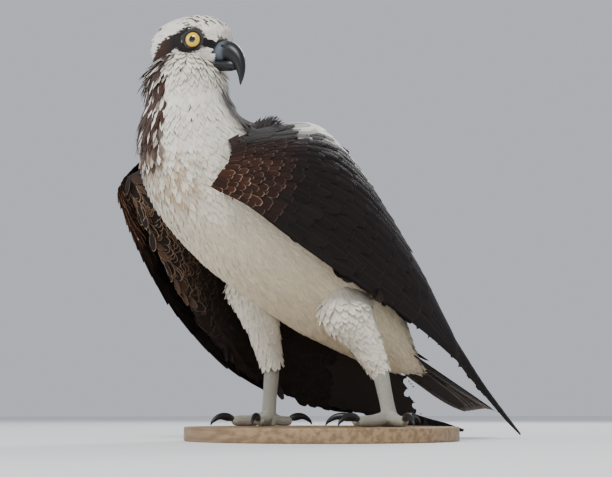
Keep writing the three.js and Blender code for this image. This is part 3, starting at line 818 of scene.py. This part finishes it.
class WingSheet:
    """A wing's surface, where a runs from wrist to tip and q from lower to upper edge."""

    limits = (-0.02, 1.02)

    def __init__(self, side, wrist_up, droop, power, spread):
        self.side = side
        self.wrist = np.array([0, wrist_ahead, wrist_up], float)
        self.ahead = unit(np.array(wing_end, float) - self.wrist)
        self.upward = np.array([0, -self.ahead[2], self.ahead[1]])
        self.edges = []
        for edge, share in ((1, 1.0), (2, 0.7), (3, 0.25)):
            points = []
            for station in wing_stations:
                out, up = station[edge]
                part = max(station[0] / wing_reach, 0)
                sag = droop * math.sin(math.pi * part**power)
                wide = spread * math.cos(math.pi / 2 * part)
                points.append((station[0], out + wide * share, up - sag * share))
            self.edges.append(through(points, np.linspace(0, 1, 400)))
        self.along = self.edges[0][:, 0]

    def section(self, a):
        return [np.stack([np.interp(a, self.along, e[:, k]) for k in range(3)], axis=-1) for e in self.edges]

    def place(self, a, q):
        a, q = np.broadcast_arrays(np.asarray(a, float), np.asarray(q, float))
        low, bulge, top = self.section(a)
        inside = np.clip(q, 0, 1)[..., None]
        spot = (1 - inside) ** 2 * low + 2 * inside * (1 - inside) * bulge + inside**2 * top
        past_low, past_top = np.minimum(q, 0)[..., None], np.maximum(q - 1, 0)[..., None]
        spot = spot + past_low * 2 * (bulge - low) + past_top * 2 * (top - bulge)
        out = np.zeros(spot.shape)
        out[..., 0] = self.side * spot[..., 1]
        return self.wrist + self.ahead * a[..., None] + self.upward * spot[..., 2:3] + out + bird_place

    def normal(self, a, q):
        along = self.place(a + 2, q) - self.place(a - 2, q)
        up = self.place(a, q + 0.03) - self.place(a, q - 0.03)
        return unit(np.cross(along, up)) * self.side

    def span(self, a):
        low, _, top = self.section(a)
        return np.maximum(1.12 * np.hypot(top[..., 1] - low[..., 1], top[..., 2] - low[..., 2]), 16)


# The left wing is held up along its length, the right one sags and stands off.
wing_sheets = {
    "left": WingSheet(1, wrist_up=252, droop=-38, power=0.6, spread=0),
    "right": WingSheet(-1, wrist_up=266, droop=66, power=1.3, spread=16),
}
print("wing sheets", [s.place(100.0, 0.5).round(1).tolist() for s in wing_sheets.values()])


# %% [markdown]
# A vane on a sheet starts narrow at its root, is widest past the middle and ends
# round. Its middle stands a little higher than its edges, so that neighbours
# overlap cleanly, and it is clipped where the sheet itself ends.

# %% Vanes that follow a sheet
def lay_feathers(sheet, start, end, width, lift, rows, columns=5, tip=0.55, cup=0.9, slim=0.75):
    """start and end are (a, q) arrays, and lift is (root, tip) in millimetres."""
    round_from, round_by = 0.72, 0.30
    v = np.linspace(0, 1, rows)[None, :, None]
    u = np.linspace(-1, 1, columns)[None, None, :]
    start, end = np.asarray(start, float), np.asarray(end, float)
    count = len(start)
    width, low_lift, high_lift = (np.broadcast_to(x, count)[:, None, None] for x in (width, *lift))
    full = np.clip(slim + (1 - slim) * np.sin(np.clip(v / 0.6, 0, 1) * math.pi / 2), 0, 1)
    rounded = full * np.sqrt(np.clip(1 - ((v - round_from) / round_by) ** 2, 0, 1))
    outline = np.where(v > round_from, rounded, full)
    outline = np.maximum(outline, np.where(v > 0.99, tip * 0.5, 0.2))
    a = start[:, 0, None, None] * (1 - v) + end[:, 0, None, None] * v
    middle = start[:, 1, None, None] * (1 - v) + end[:, 1, None, None] * v
    q = np.clip(middle + u * outline * width / 2 / sheet.span(a), *sheet.limits)
    a, q, middle = np.broadcast_arrays(a, q, middle)
    height = low_lift + (high_lift - low_lift) * v - cup * (u * outline) ** 2
    return sheet.place(a, q) + sheet.normal(a, middle) * height[..., None]


def lerp(a, b, share):
    return a + (b - a) * share


def tier(count, start, end):
    """Roots and tips of a row. start and end take the share of the row and odd, 0 or 1 in turn."""
    places = list(zip(np.linspace(0, 1, count), np.arange(count) % 2))
    return np.array([start(*place) for place in places]), np.array([end(*place) for place in places])


def wing_uv(start):
    a, q = start.T
    return np.clip(np.column_stack([(a + 20) / 520, q * 0.8 + 0.1]), 0.02, 0.98)


# %% [markdown]
# Ten primaries make the long tip, and secondaries and tertials cover the flank.
# They are the longest feathers, so each has eleven quads from root to tip to
# bend with the wing, and lies a little above the last one, as in a closed fan.

# %% Flight feathers
def wing_flight(side):
    sheet = wing_sheets[side]
    primaries = tier(
        10,
        lambda share, odd: (186 - 40 * share, 0.12 + 0.14 * share),
        lambda share, odd: (485 - 112 * share, lerp(0.3, 0.42, share)),
    )
    secondaries = tier(
        13,
        lambda share, odd: (140 + 20 * share, lerp(0.1, 0.82, share)),
        lambda share, odd: (lerp(352, 312, share), lerp(0.12, 0.9, share)),
    )
    long_lift = (np.linspace(0.2, 1.8, 10), np.linspace(0.2, 2.0, 10))
    short_lift = (1.2, np.linspace(1.4, 4.2, 13))
    points = np.concatenate([
        lay_feathers(sheet, *primaries, 20, long_lift, rows=12, tip=0.4, cup=0.5),
        lay_feathers(sheet, *secondaries, 34, short_lift, rows=12, tip=0.7),
    ])
    count = len(points)
    looks = (vary(plain("#161110", count), 0.12), plain("#2e2621", count), np.full(count, 0.07))
    uvs = wing_uv(np.concatenate([primaries[0], secondaries[0]]))
    feather_sheet(f"flight_feathers_{side}", dark_plume, points, *looks, uvs, "dark_feathers")


# %% [markdown]
# Over the roots of the flight feathers lie the greater, median and lesser
# coverts, each row shorter and more scalloped towards the wrist, where rusty
# feathers have pale fringes. One loop lays every row from a short table, which
# reads as the wing does, and broadens a row that would otherwise leave gaps.

# %% Coverts
# Each row is where its tips lie along the wing, then how many feathers it has,
# their length, their width and how high they stand, in millimetres.
covert_table = [
    (268, 15, 84, 25, 3.6), (232, 15, 62, 22, 4.6), (204, 16, 50, 19, 5.2), (178, 17, 44, 17, 5.6),
    (154, 18, 38, 15, 5.8), (132, 19, 34, 14, 5.9), (111, 18, 30, 13, 5.8), (91, 17, 27, 12, 5.5),
    (77, 22, 22, 9, 4.6), (65, 24, 18, 7, 4.2), (54, 25, 16, 6, 3.8), (44, 25, 14, 5.5, 3.4),
    (35, 24, 13, 5.5, 3.1), (27, 22, 12, 5, 2.8), (19, 19, 11, 5, 2.6), (12, 15, 10, 5, 2.4),
    (5, 11, 9, 5, 2.2),
]
first_row = {"left": 16, "right": 0}


def covert_rows(side):
    """Rows of coverts from the flight feathers' roots up to the wrist."""
    sheet = wing_sheets[side]
    parts, starts, tips = [], [], []
    for tip, number, length, width, lift in covert_table:
        if tip <= first_row[side]:
            continue
        start, end = tier(
            number,
            lambda share, odd: (tip - length, lerp(0.0, 0.99, share)),
            lambda share, odd: (tip + length * 0.12 * odd, lerp(0.0, 1.0, share)),
        )
        wander = rng.normal(0, 1, start.shape) * [length * 0.05, 0.006]
        more = rng.normal(0, 1, end.shape) * [length * 0.05, 0.008]
        start, end = start + wander, end + wander + more
        wobble = rng.random(number) * 0.9
        broad = np.maximum(width, 1.5 * sheet.span(end[:, 0]) / number)
        lifts = (lift * 0.8 - 2.2, lift * 0.8 + wobble)
        parts.append(lay_feathers(sheet, start, end, broad, lifts, rows=7, tip=0.9, cup=1.1, slim=0.7))
        starts.append(start)
        tips.append(np.full(number, tip))
    return np.concatenate(parts), np.concatenate(starts), np.concatenate(tips)


def wing_coverts(side):
    points, start, tip = covert_rows(side)
    count = len(points)
    q = start[:, 1]
    near_wrist = 1 - smooth(tip, 34, 95)
    noise = rng.random(count)
    low = 1 - smooth(q, 0.1, 0.6)
    rusty = near_wrist * (0.25 + 0.6 * noise) * (0.4 + 0.6 * low)
    white = smooth(q, 0.8, 0.9) * smooth(tip, 70, 90) * (1 - smooth(tip, 150, 180)) * (noise < 0.85)
    tints = blend_colours([(rusty, "#4f2f20"), (white, "#e6ded0")], "#17110f", count)
    pale_rim = np.clip(near_wrist * (0.3 + 0.7 * low) * (0.5 + 0.5 * noise), 0, 1)
    rims = blend_colours([(pale_rim, "#b3937a"), (white, "#f4efe6")], "#291f1b", count)
    looks = (vary(tints, 0.16), rims, 0.08 + 0.09 * pale_rim + 0.03 * noise)
    feather_sheet(f"coverts_{side}", dark_plume, points, *looks, wing_uv(start), "dark_feathers")


# %% [markdown]
# The scapulars come from the shoulder and cover the wing's upper edge, and here
# many of them are white, which gives the pale patch at the fold. They are laid
# as coverts are, in three rows, each of them a little higher than the last.

# %% Scapulars
def wing_scapulars(side):
    sheet = wing_sheets[side]
    number = 26
    for row, middle in enumerate((0.78, 0.87, 0.95)):
        start, end = tier(
            number,
            lambda share, odd: (lerp(22, 165, share), middle + 0.02 - 0.04 * odd),
            lambda share, odd: (lerp(50, 226, share), middle - 0.03 * odd),
        )
        wander = rng.normal(0, 1, start.shape) * [4, 0.012]
        lift = 3.4 + 0.8 * row + 0.8 * rng.random(number)
        lifts = (lift - 1.2, lift)
        points = lay_feathers(sheet, start + wander, end + wander, 14, lifts, rows=8, tip=0.6, cup=1.2)
        white_until = 0.65 if row == 0 else 0.85
        white = between(np.linspace(0, 1, number), 0.2, white_until, 0.08) * (rng.random(number) < 0.97)
        tints = blend_colours([(white, "#ece6da")], "#1c1512", number)
        rims = blend_colours([(white, "#f4efe6")], "#3a2f27", number)
        looks = (vary(tints, 0.1), rims, np.full(number, 0.08))
        name = f"scapulars_{side}_{row + 1}"
        feather_sheet(name, dark_plume, points, *looks, wing_uv(start), "dark_feathers")


for wing_side in ("left", "right"):
    wing_flight(wing_side)
    wing_coverts(wing_side)
    wing_scapulars(wing_side)

# %% [markdown]
# The inner side of a wing shows ahead of the legs and below the body. Small
# lining feathers are spread over the bed wherever its surface turns from the
# outer sheet there. They are found face by face from the bed's own mesh, since
# the sheet's formula knows only the outside, and all point to the wing's tip.

# %% Lining of the wings
lining_back = 60
clear_of_floor = 3
lining_share = 0.34


def wing_lining(side):
    sheet = wing_sheets[side]
    mesh = wing_beds[side].data
    count = len(mesh.polygons)
    centres = np.empty(count * 3)
    normals = np.empty(count * 3)
    mesh.polygons.foreach_get("center", centres)
    mesh.polygons.foreach_get("normal", normals)
    centres, normals = centres.reshape(-1, 3) * 1000, normals.reshape(-1, 3)
    turned_in = np.where((centres[:, 1] < 20) & (side == "right"), 0.2, -0.45)
    inward = normals[:, 0] * sheet.side < turned_in
    chosen = np.flatnonzero(inward & (normals[:, 2] < 0.35) & (centres[:, 1] < lining_back))
    chosen = chosen[rng.random(len(chosen)) < lining_share]
    roots, out = centres[chosen], normals[chosen]
    number = len(chosen)
    flow = np.tile(sheet.ahead, (number, 1))
    noise = rng.random(number)
    edge = smooth(-out[:, 2], -0.2, 0.5)
    front = 1 - smooth(roots[:, 1], -150, -60)
    tints = blend_colours([((noise < 0.3) * front * (0.2 + 0.4 * edge), "#6b4c38")], "#1f1714", number)
    rims = blend_colours([(front * (0.25 + 0.5 * edge), "#a98a6e")], "#33271f", number)
    points = stand_feathers(roots, out, flow, 15 + 4 * noise, 10.5, 0.7 + 0.6 * noise, 0.1, pointed=0.5)
    uvs = np.column_stack([(roots[:, 1] + 200) / 520, (roots[:, 2] + 10) / 420])
    above_floor = points.reshape(number, -1, 3)[:, :, 2].min(axis=1) > clear_of_floor
    made = (points, vary(tints, 0.12), rims, 0.1 + 0.1 * noise, uvs)
    feather_sheet(f"lining_{side}", dark_plume, *(values[above_floor] for values in made), "dark_feathers")


for wing_side in ("left", "right"):
    wing_lining(wing_side)

# %% [markdown]
# The closed tail is twelve long feathers fanned a little, the outer ones lowest,
# with seven coverts over their roots. It is brown with faint dark bars across it
# and a paler rim to each feather. It is laid like the wing's feathers, but its
# sheet is a plain one that only droops towards both sides.

# %% Tail feathers
tail_root = np.array([0, 88, 120.0])
tail_tip = np.array([0, 254, 37.0])
tail_droop = 0.006


class TailSheet:
    """The tail's surface, where s runs from root to tip and q to the left, in millimetres."""

    limits = (-60, 60)
    ahead = unit(tail_tip - tail_root)
    up = np.array([0, -ahead[2], ahead[1]])

    def place(self, s, q):
        s, q = np.broadcast_arrays(np.asarray(s, float), np.asarray(q, float))
        side = np.zeros(s.shape + (3,))
        side[..., 0] = q
        sunk = self.up * (tail_droop * q * q)[..., None]
        return tail_root + bird_place + self.ahead * s[..., None] - sunk + side

    def normal(self, s, q):
        return np.broadcast_to(self.up, np.broadcast(s, q).shape + (3,))

    def span(self, s):
        return np.ones(np.shape(s))


tail_plume = plume_material("tail_plumage", 26, bars=7.0)
tail_sheet = TailSheet()


def tail_piece(name, material, points, tint, rim, varied, fringe, root):
    count = len(points)
    uvs = np.column_stack([np.full(count, root), np.linspace(0.05, 0.95, count)])
    looks = (vary(plain(tint, count), varied), plain(rim, count), np.full(count, fringe))
    feather_sheet(name, material, points, *looks, uvs, "dark_feathers")


def tail_coat():
    outer = np.abs(np.linspace(-1, 1, 12))
    lift = (-1.5 - 0.9 * outer, -0.3 - 3.2 * outer)
    places = tier(
        12,
        lambda share, odd: (4, (2 * share - 1) * 14),
        lambda share, odd: (194 - 6 * (2 * share - 1) ** 2, (2 * share - 1) * 21),
    )
    points = lay_feathers(tail_sheet, *places, 26, lift, rows=14, tip=0.75, cup=0.6)
    tail_piece("tail_feathers", tail_plume, points, "#4b3c31", "#6d5d4e", varied=0.08, fringe=0.09, root=0.1)
    places = tier(
        7,
        lambda share, odd: (0, (2 * share - 1) * 16),
        lambda share, odd: (62 + 22 * odd, (2 * share - 1) * 22),
    )
    points = lay_feathers(tail_sheet, *places, 19, (1.5, 2.6), rows=7, tip=0.8)
    tail_piece("tail_coverts", dark_plume, points, "#2a211c", "#6b5948", varied=0.1, fringe=0.12, root=0.3)


tail_coat()

# %% [markdown]
# Loose white feathers clothe the thighs down to the heel. Each thigh is a loft
# from the knee, inside the flank, to the heel, and is tiled as the body is, so
# the feathers point down the leg and hang a little away from it.

# %% Thighs
legs = {
    "left": {
        "side": 1, "heading": 8, "heel_radius": 9.4,
        "knee": (46, 26, 132), "ankle": (53, 66, 74), "foot": (72, 64),
    },
    "right": {
        "side": -1, "heading": -4, "heel_radius": 10.2,
        "knee": (-44, -26, 160), "ankle": (-50, 5, 80), "foot": (-50, 0),
    },
}


def thigh_loft(leg):
    knee, ankle = np.array(leg["knee"], float), np.array(leg["ankle"], float)
    spine = [knee + (0, -10, 22), knee, knee * 0.45 + ankle * 0.55, ankle + (0, 0, -4)]
    sizes = [(12, 12, 12), (22, 25, 25), (15, 16, 16), (leg["heel_radius"],) * 3]
    return Loft(spine, sizes, (1, 0, 0), moved=bird_place)


def thigh_coat(side):
    loft = thigh_loft(legs[side])
    places = tile(loft, (0.03, 0.965), (0, math.tau), 5.0, 5.2)
    places[:, 0] = np.clip(places[:, 0], 0.01, 0.97)
    t, turn = places.T
    count = len(places)
    low = smooth(t, 0.6, 0.95)
    lift = 1.6 + rng.random(count)
    stance = (loft.place(t, turn), loft.normal(t, turn), loft.along(t, turn))
    points = stand_feathers(*stance, 15 - 5 * low, 8.5 - 2.5 * low, lift, 0.5, pointed=0.45)
    looks = (vary(plain("#e9e0cc", count), 0.06), plain("#f6f3ec", count), np.full(count, 0.1))
    feather_sheet(f"coat_thigh_{side}", white_plume, points, *looks, loft_uv(places), "white_feathers")


for leg_side in ("left", "right"):
    thigh_coat(leg_side)

# %% [markdown]
# Below the heel the leg is bare and covered with small rough scales all the way
# down to the claws. One mesh is remeshed over shank and foot, so that the ankle
# has no seam. The scales are Voronoi cells: their grooves are darker and sunk in
# by a bump, which is enough, since a scale is only three millimetres across.

# %% Scaly legs and feet
def scale_material():
    material, field = new_material("leg_scales", 0.5)
    cells = field.node("ShaderNodeTexVoronoi", {"feature": "DISTANCE_TO_EDGE"}, {"Scale": 330.0})
    tone = noise_field(field, 60.0)
    groove = 1 - cells.step(0.02, 0.16)
    pale = mix_colour(tone.step(0.35, 0.65), paint("#d9d4c4"), paint("#efebdd"))
    feed(material, Base_Color=mix_colour(groove * 0.8, pale, paint("#979483")))
    feed(material, Normal=bump(groove, 0.8, 0.0008, invert=True))
    return material


scales = scale_material()
for leg_side in ("left", "right"):
    bare = [f"tarsus_{leg_side}", f"foot_{leg_side}"]
    foot = remeshed(f"leg_{leg_side}", bare, scales, voxel=0.0012, rounds=4, sunk=0.0)

# %% [markdown]
# Claws and bill are smooth horn over bone. Each is the CAD loft again, made from
# a ball whose rings are moved along the spine, with many more rings here. How
# far along a point lies is kept as an attribute, so that the colour can change
# from the root to the tip. Horn catches the light, so it is glossy.

# %% Horn
def loft_piece(name, loft, material, around=28, rings=36):
    shape = bmesh.new()
    bmesh.ops.create_uvsphere(shape, u_segments=around, v_segments=rings, radius=1)
    spots = np.array([v.co[:] for v in shape.verts])
    t = np.arccos(np.clip(spots[:, 2], -1, 1)) / math.pi
    turn = np.arctan2(spots[:, 1], spots[:, 0])
    for vertex, spot in zip(shape.verts, loft.place(t, turn) * MM):
        vertex.co = spot
    bmesh.ops.recalc_face_normals(shape, faces=shape.faces)
    piece = link(name, shape, material)
    point_layer(piece.data.attributes, "share", "FLOAT", "value", t)
    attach(piece, "root")
    return piece


def horn_material(name, tip_colour, root_colour, low, high, roughness=0.3):
    """Horn whose colour changes between the shares low and high of its length."""
    material, field = new_material(name, roughness)
    share = field.node("ShaderNodeAttribute", {"attribute_name": "share"}, output=2)
    grain = noise_field(field, 150.0, 4.0)
    towards_tip = (share + (grain - 0.5) * 0.05).step(low, high)
    feed(material, Base_Color=mix_colour(towards_tip, paint(root_colour), paint(tip_colour)))
    feed(material, Roughness=roughness + (1 - towards_tip) * 0.2 + grain * 0.12)
    feed(material, Normal=bump(grain, 0.12, 0.0004))
    return material


# %% [markdown]
# The upper bill hooks far down over the lower one, grey at its root and black
# towards the point. Each nostril is a slit, seen as a dark sliver in the grey.
# A thin near-black loft laid half into the horn is painted shadow: it shows as
# the dark inside of such a slit without any cut.

# %% Bill and nostrils
bill_horn = horn_material("bill_horn", "#0d0d10", "#59626b", 0.22, 0.33)
upper_bill = Loft(
    [(12, 0, -8), (21, 0, -9), (31, 0, -11), (38.6, 0, -17), (43.2, 0, -26.5), (44, 0, -36.5), (43, 0, -46)],
    [
        (9, 9, 9), (10, 9.8, 10.6), (9.2, 9.8, 10), (7, 7.6, 8.6), (4.6, 5, 6.4), (2.7, 3, 3.3),
        (0.5, 0.5, 0.5),
    ],
    (0, -1, 0), **head_turned,
)
lower_bill = Loft(
    [(6, 0, -21), (16, 0, -22.5), (25, 0, -24.5), (33, 0, -26.5), (38, 0, -29)],
    [(9, 4, 4), (8.6, 5, 4.6), (7.4, 6, 4.6), (5.4, 7, 3.8), (1.6, 2, 1.2)],
    (0, -1, 0), **head_turned,
)
for name, loft in (("bill_upper", upper_bill), ("bill_lower", lower_bill)):
    made = loft_piece(f"horn_{name}", loft, bill_horn)
    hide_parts(name)

# Painted shadow: the near-black slits stand in for the shade inside the nostril openings.
slit_shadow = horn_material("nostril_painted_shadow", "#060607", "#0c0c0e", 0.0, 1.0, 0.6)
for name, sign in (("left", 1), ("right", -1)):
    slit = Loft(
        [(25.8, sign * 9.5, -5.8), (28.8, sign * 9.3, -7.4), (31.8, sign * 8.8, -9.6)],
        [(0.2, 0.2, 0.2), (0.85, 1.2, 1.2), (0.2, 0.2, 0.2)],
        (0, -1, 0), **head_turned,
    )
    loft_piece(f"nostril_{name}", slit, slit_shadow, 12, 10)
print("bill and nostrils")

# %% [markdown]
# An osprey's claws are long, round and strongly curved. All eight are one shape,
# set on the ends of toes of different lengths, and one toe of each foot points
# back. They grow out of the toes, rise a little and come down to the base.

# %% Claws
# Each toe is a turn from straight ahead, in degrees, and a length. A claw's spots
# are how far past the toe's end and how high each point of its spine lies.
toes = [(-38, 40), (0, 48), (62, 43), (188, 29)]
claw_spots = [(-6, 6.2), (3, 9), (13, 9.6), (21, 5.4), (24.5, 0.9)]
claw_sizes = [(1.5, 1.5, 1.5), (3.4, 4, 4), (2.6, 3.2, 3), (1.6, 2, 1.8), (0.35, 0.35, 0.35)]
claw_horn = horn_material("claw_horn", "#0e0e11", "#3a3d40", 0.0, 0.3)
for leg_side, leg in legs.items():
    for number, (turn, length) in enumerate(toes, 1):
        angle = math.radians(leg["heading"] + turn) * leg["side"]
        way = np.array([math.sin(angle), -math.cos(angle), 0])
        start = np.array([*leg["foot"], sole_level], float)
        spine = [start + way * (length + past) + (0, 0, up) for past, up in claw_spots]
        claw = Loft(spine, claw_sizes, np.cross(way, (0, 0, 1)), moved=bird_place)
        made = loft_piece(f"horn_claw_{leg_side}_{number}", claw, claw_horn, 20, 24)
        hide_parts(f"claw_{leg_side}_{number}")
print("claws", len(toes) * len(legs))

# %% [markdown]
# The eye is a glossy ball. A yellow iris with a darker edge surrounds the round
# pupil, and each point's distance from the eye's own axis, kept as an attribute,
# says which of them it belongs to. A picture could be wrapped round the ball, but
# rings by distance stay perfectly round. A black lid ring frames the ball.

# %% Finishes of eye and lid
eyeball_radius = 9.6
pupil_edge = (3.0, 3.35)
iris_rim = (6.2, 7.4)
iris_edge = (7.3, 7.6)


def eye_material():
    material, field = new_material("eye", 0.06, Coat_Weight=1.0, Coat_Roughness=0.02)
    ring = field.node("ShaderNodeAttribute", {"attribute_name": "ring"}, output=2)
    fibres = noise_field(field, 900.0)
    yellow = mix_colour(fibres.step(0.3, 0.7), paint("#d6a400"), paint("#ffd800"))
    iris = mix_colour(ring.step(*iris_rim), yellow, paint("#6b4405"))
    inner = mix_colour(ring.step(*pupil_edge), paint("#050505"), iris)
    feed(material, Base_Color=mix_colour(ring.step(*iris_edge), inner, paint("#0b0908")))
    return material


def lid_material():
    material, field = new_material("lid_skin", 0.45)
    wrinkles = noise_field(field, 700.0)
    feed(material, Base_Color=mix_colour(wrinkles, paint("#0c0a0a"), paint("#2a2523")))
    feed(material, Normal=bump(wrinkles, 0.5, 0.0004))
    return material


# %% [markdown]
# The ball is a sphere, moved to its place in the head, which turns it as well.
# The ring is a circle spun round the gaze, so it sits like a washer on the ball.

# %% Eyes and lid rings
lid_radius = 9.1 * MM
lid_thickness = 1.9 * MM
lid_ahead = 4.2 * MM
behind_the_eye = 20
eye_finish = eye_material()
lid_skin = lid_material()


def eyeball(name, centre, gaze):
    shape = bmesh.new()
    bmesh.ops.create_uvsphere(shape, u_segments=48, v_segments=32, radius=eyeball_radius * MM)
    spots = np.array([v.co[:] for v in shape.verts]) / MM
    off_axis = np.linalg.norm(np.cross(spots, gaze), axis=1)
    bmesh.ops.translate(shape, verts=shape.verts, vec=centre)
    bmesh.ops.transform(shape, verts=shape.verts, matrix=head_matrix)
    piece = link(name, shape, eye_finish)
    ring = np.where(spots @ gaze > 0, off_axis, behind_the_eye)
    point_layer(piece.data.attributes, "ring", "FLOAT", "value", ring)
    return piece


def lid_ring(name, centre, gaze):
    shape = bmesh.new()
    tube = Matrix.Translation((lid_radius, 0, 0)) @ Matrix.Rotation(math.pi / 2, 4, "X")
    bmesh.ops.create_circle(shape, segments=12, radius=lid_thickness, matrix=tube)
    bmesh.ops.spin(shape, geom=shape.verts[:] + shape.edges[:], steps=40, **full_turn)
    bmesh.ops.remove_doubles(shape, verts=shape.verts, dist=same_spot)
    bmesh.ops.recalc_face_normals(shape, faces=shape.faces)
    facing = Vector(gaze).to_track_quat("Z", "Y").to_matrix().to_4x4()
    turned = Matrix.Translation(centre + Vector(gaze) * lid_ahead) @ facing
    bmesh.ops.transform(shape, verts=shape.verts, matrix=head_matrix @ turned)
    return link(name, shape, lid_skin)


for eye_side, sign in (("left", 1), ("right", -1)):
    gaze = gaze_way * (1, sign, 1)
    centre = Vector(eye_centre * (1, sign, 1) * MM)
    eye = eyeball(f"eyeball_{eye_side}", centre, gaze)
    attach(eye, "root")
    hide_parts(f"eye_{eye_side}")
    lid = lid_ring(f"lid_ring_{eye_side}", centre, gaze)
    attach(lid, "root")
print("eyes and lids")
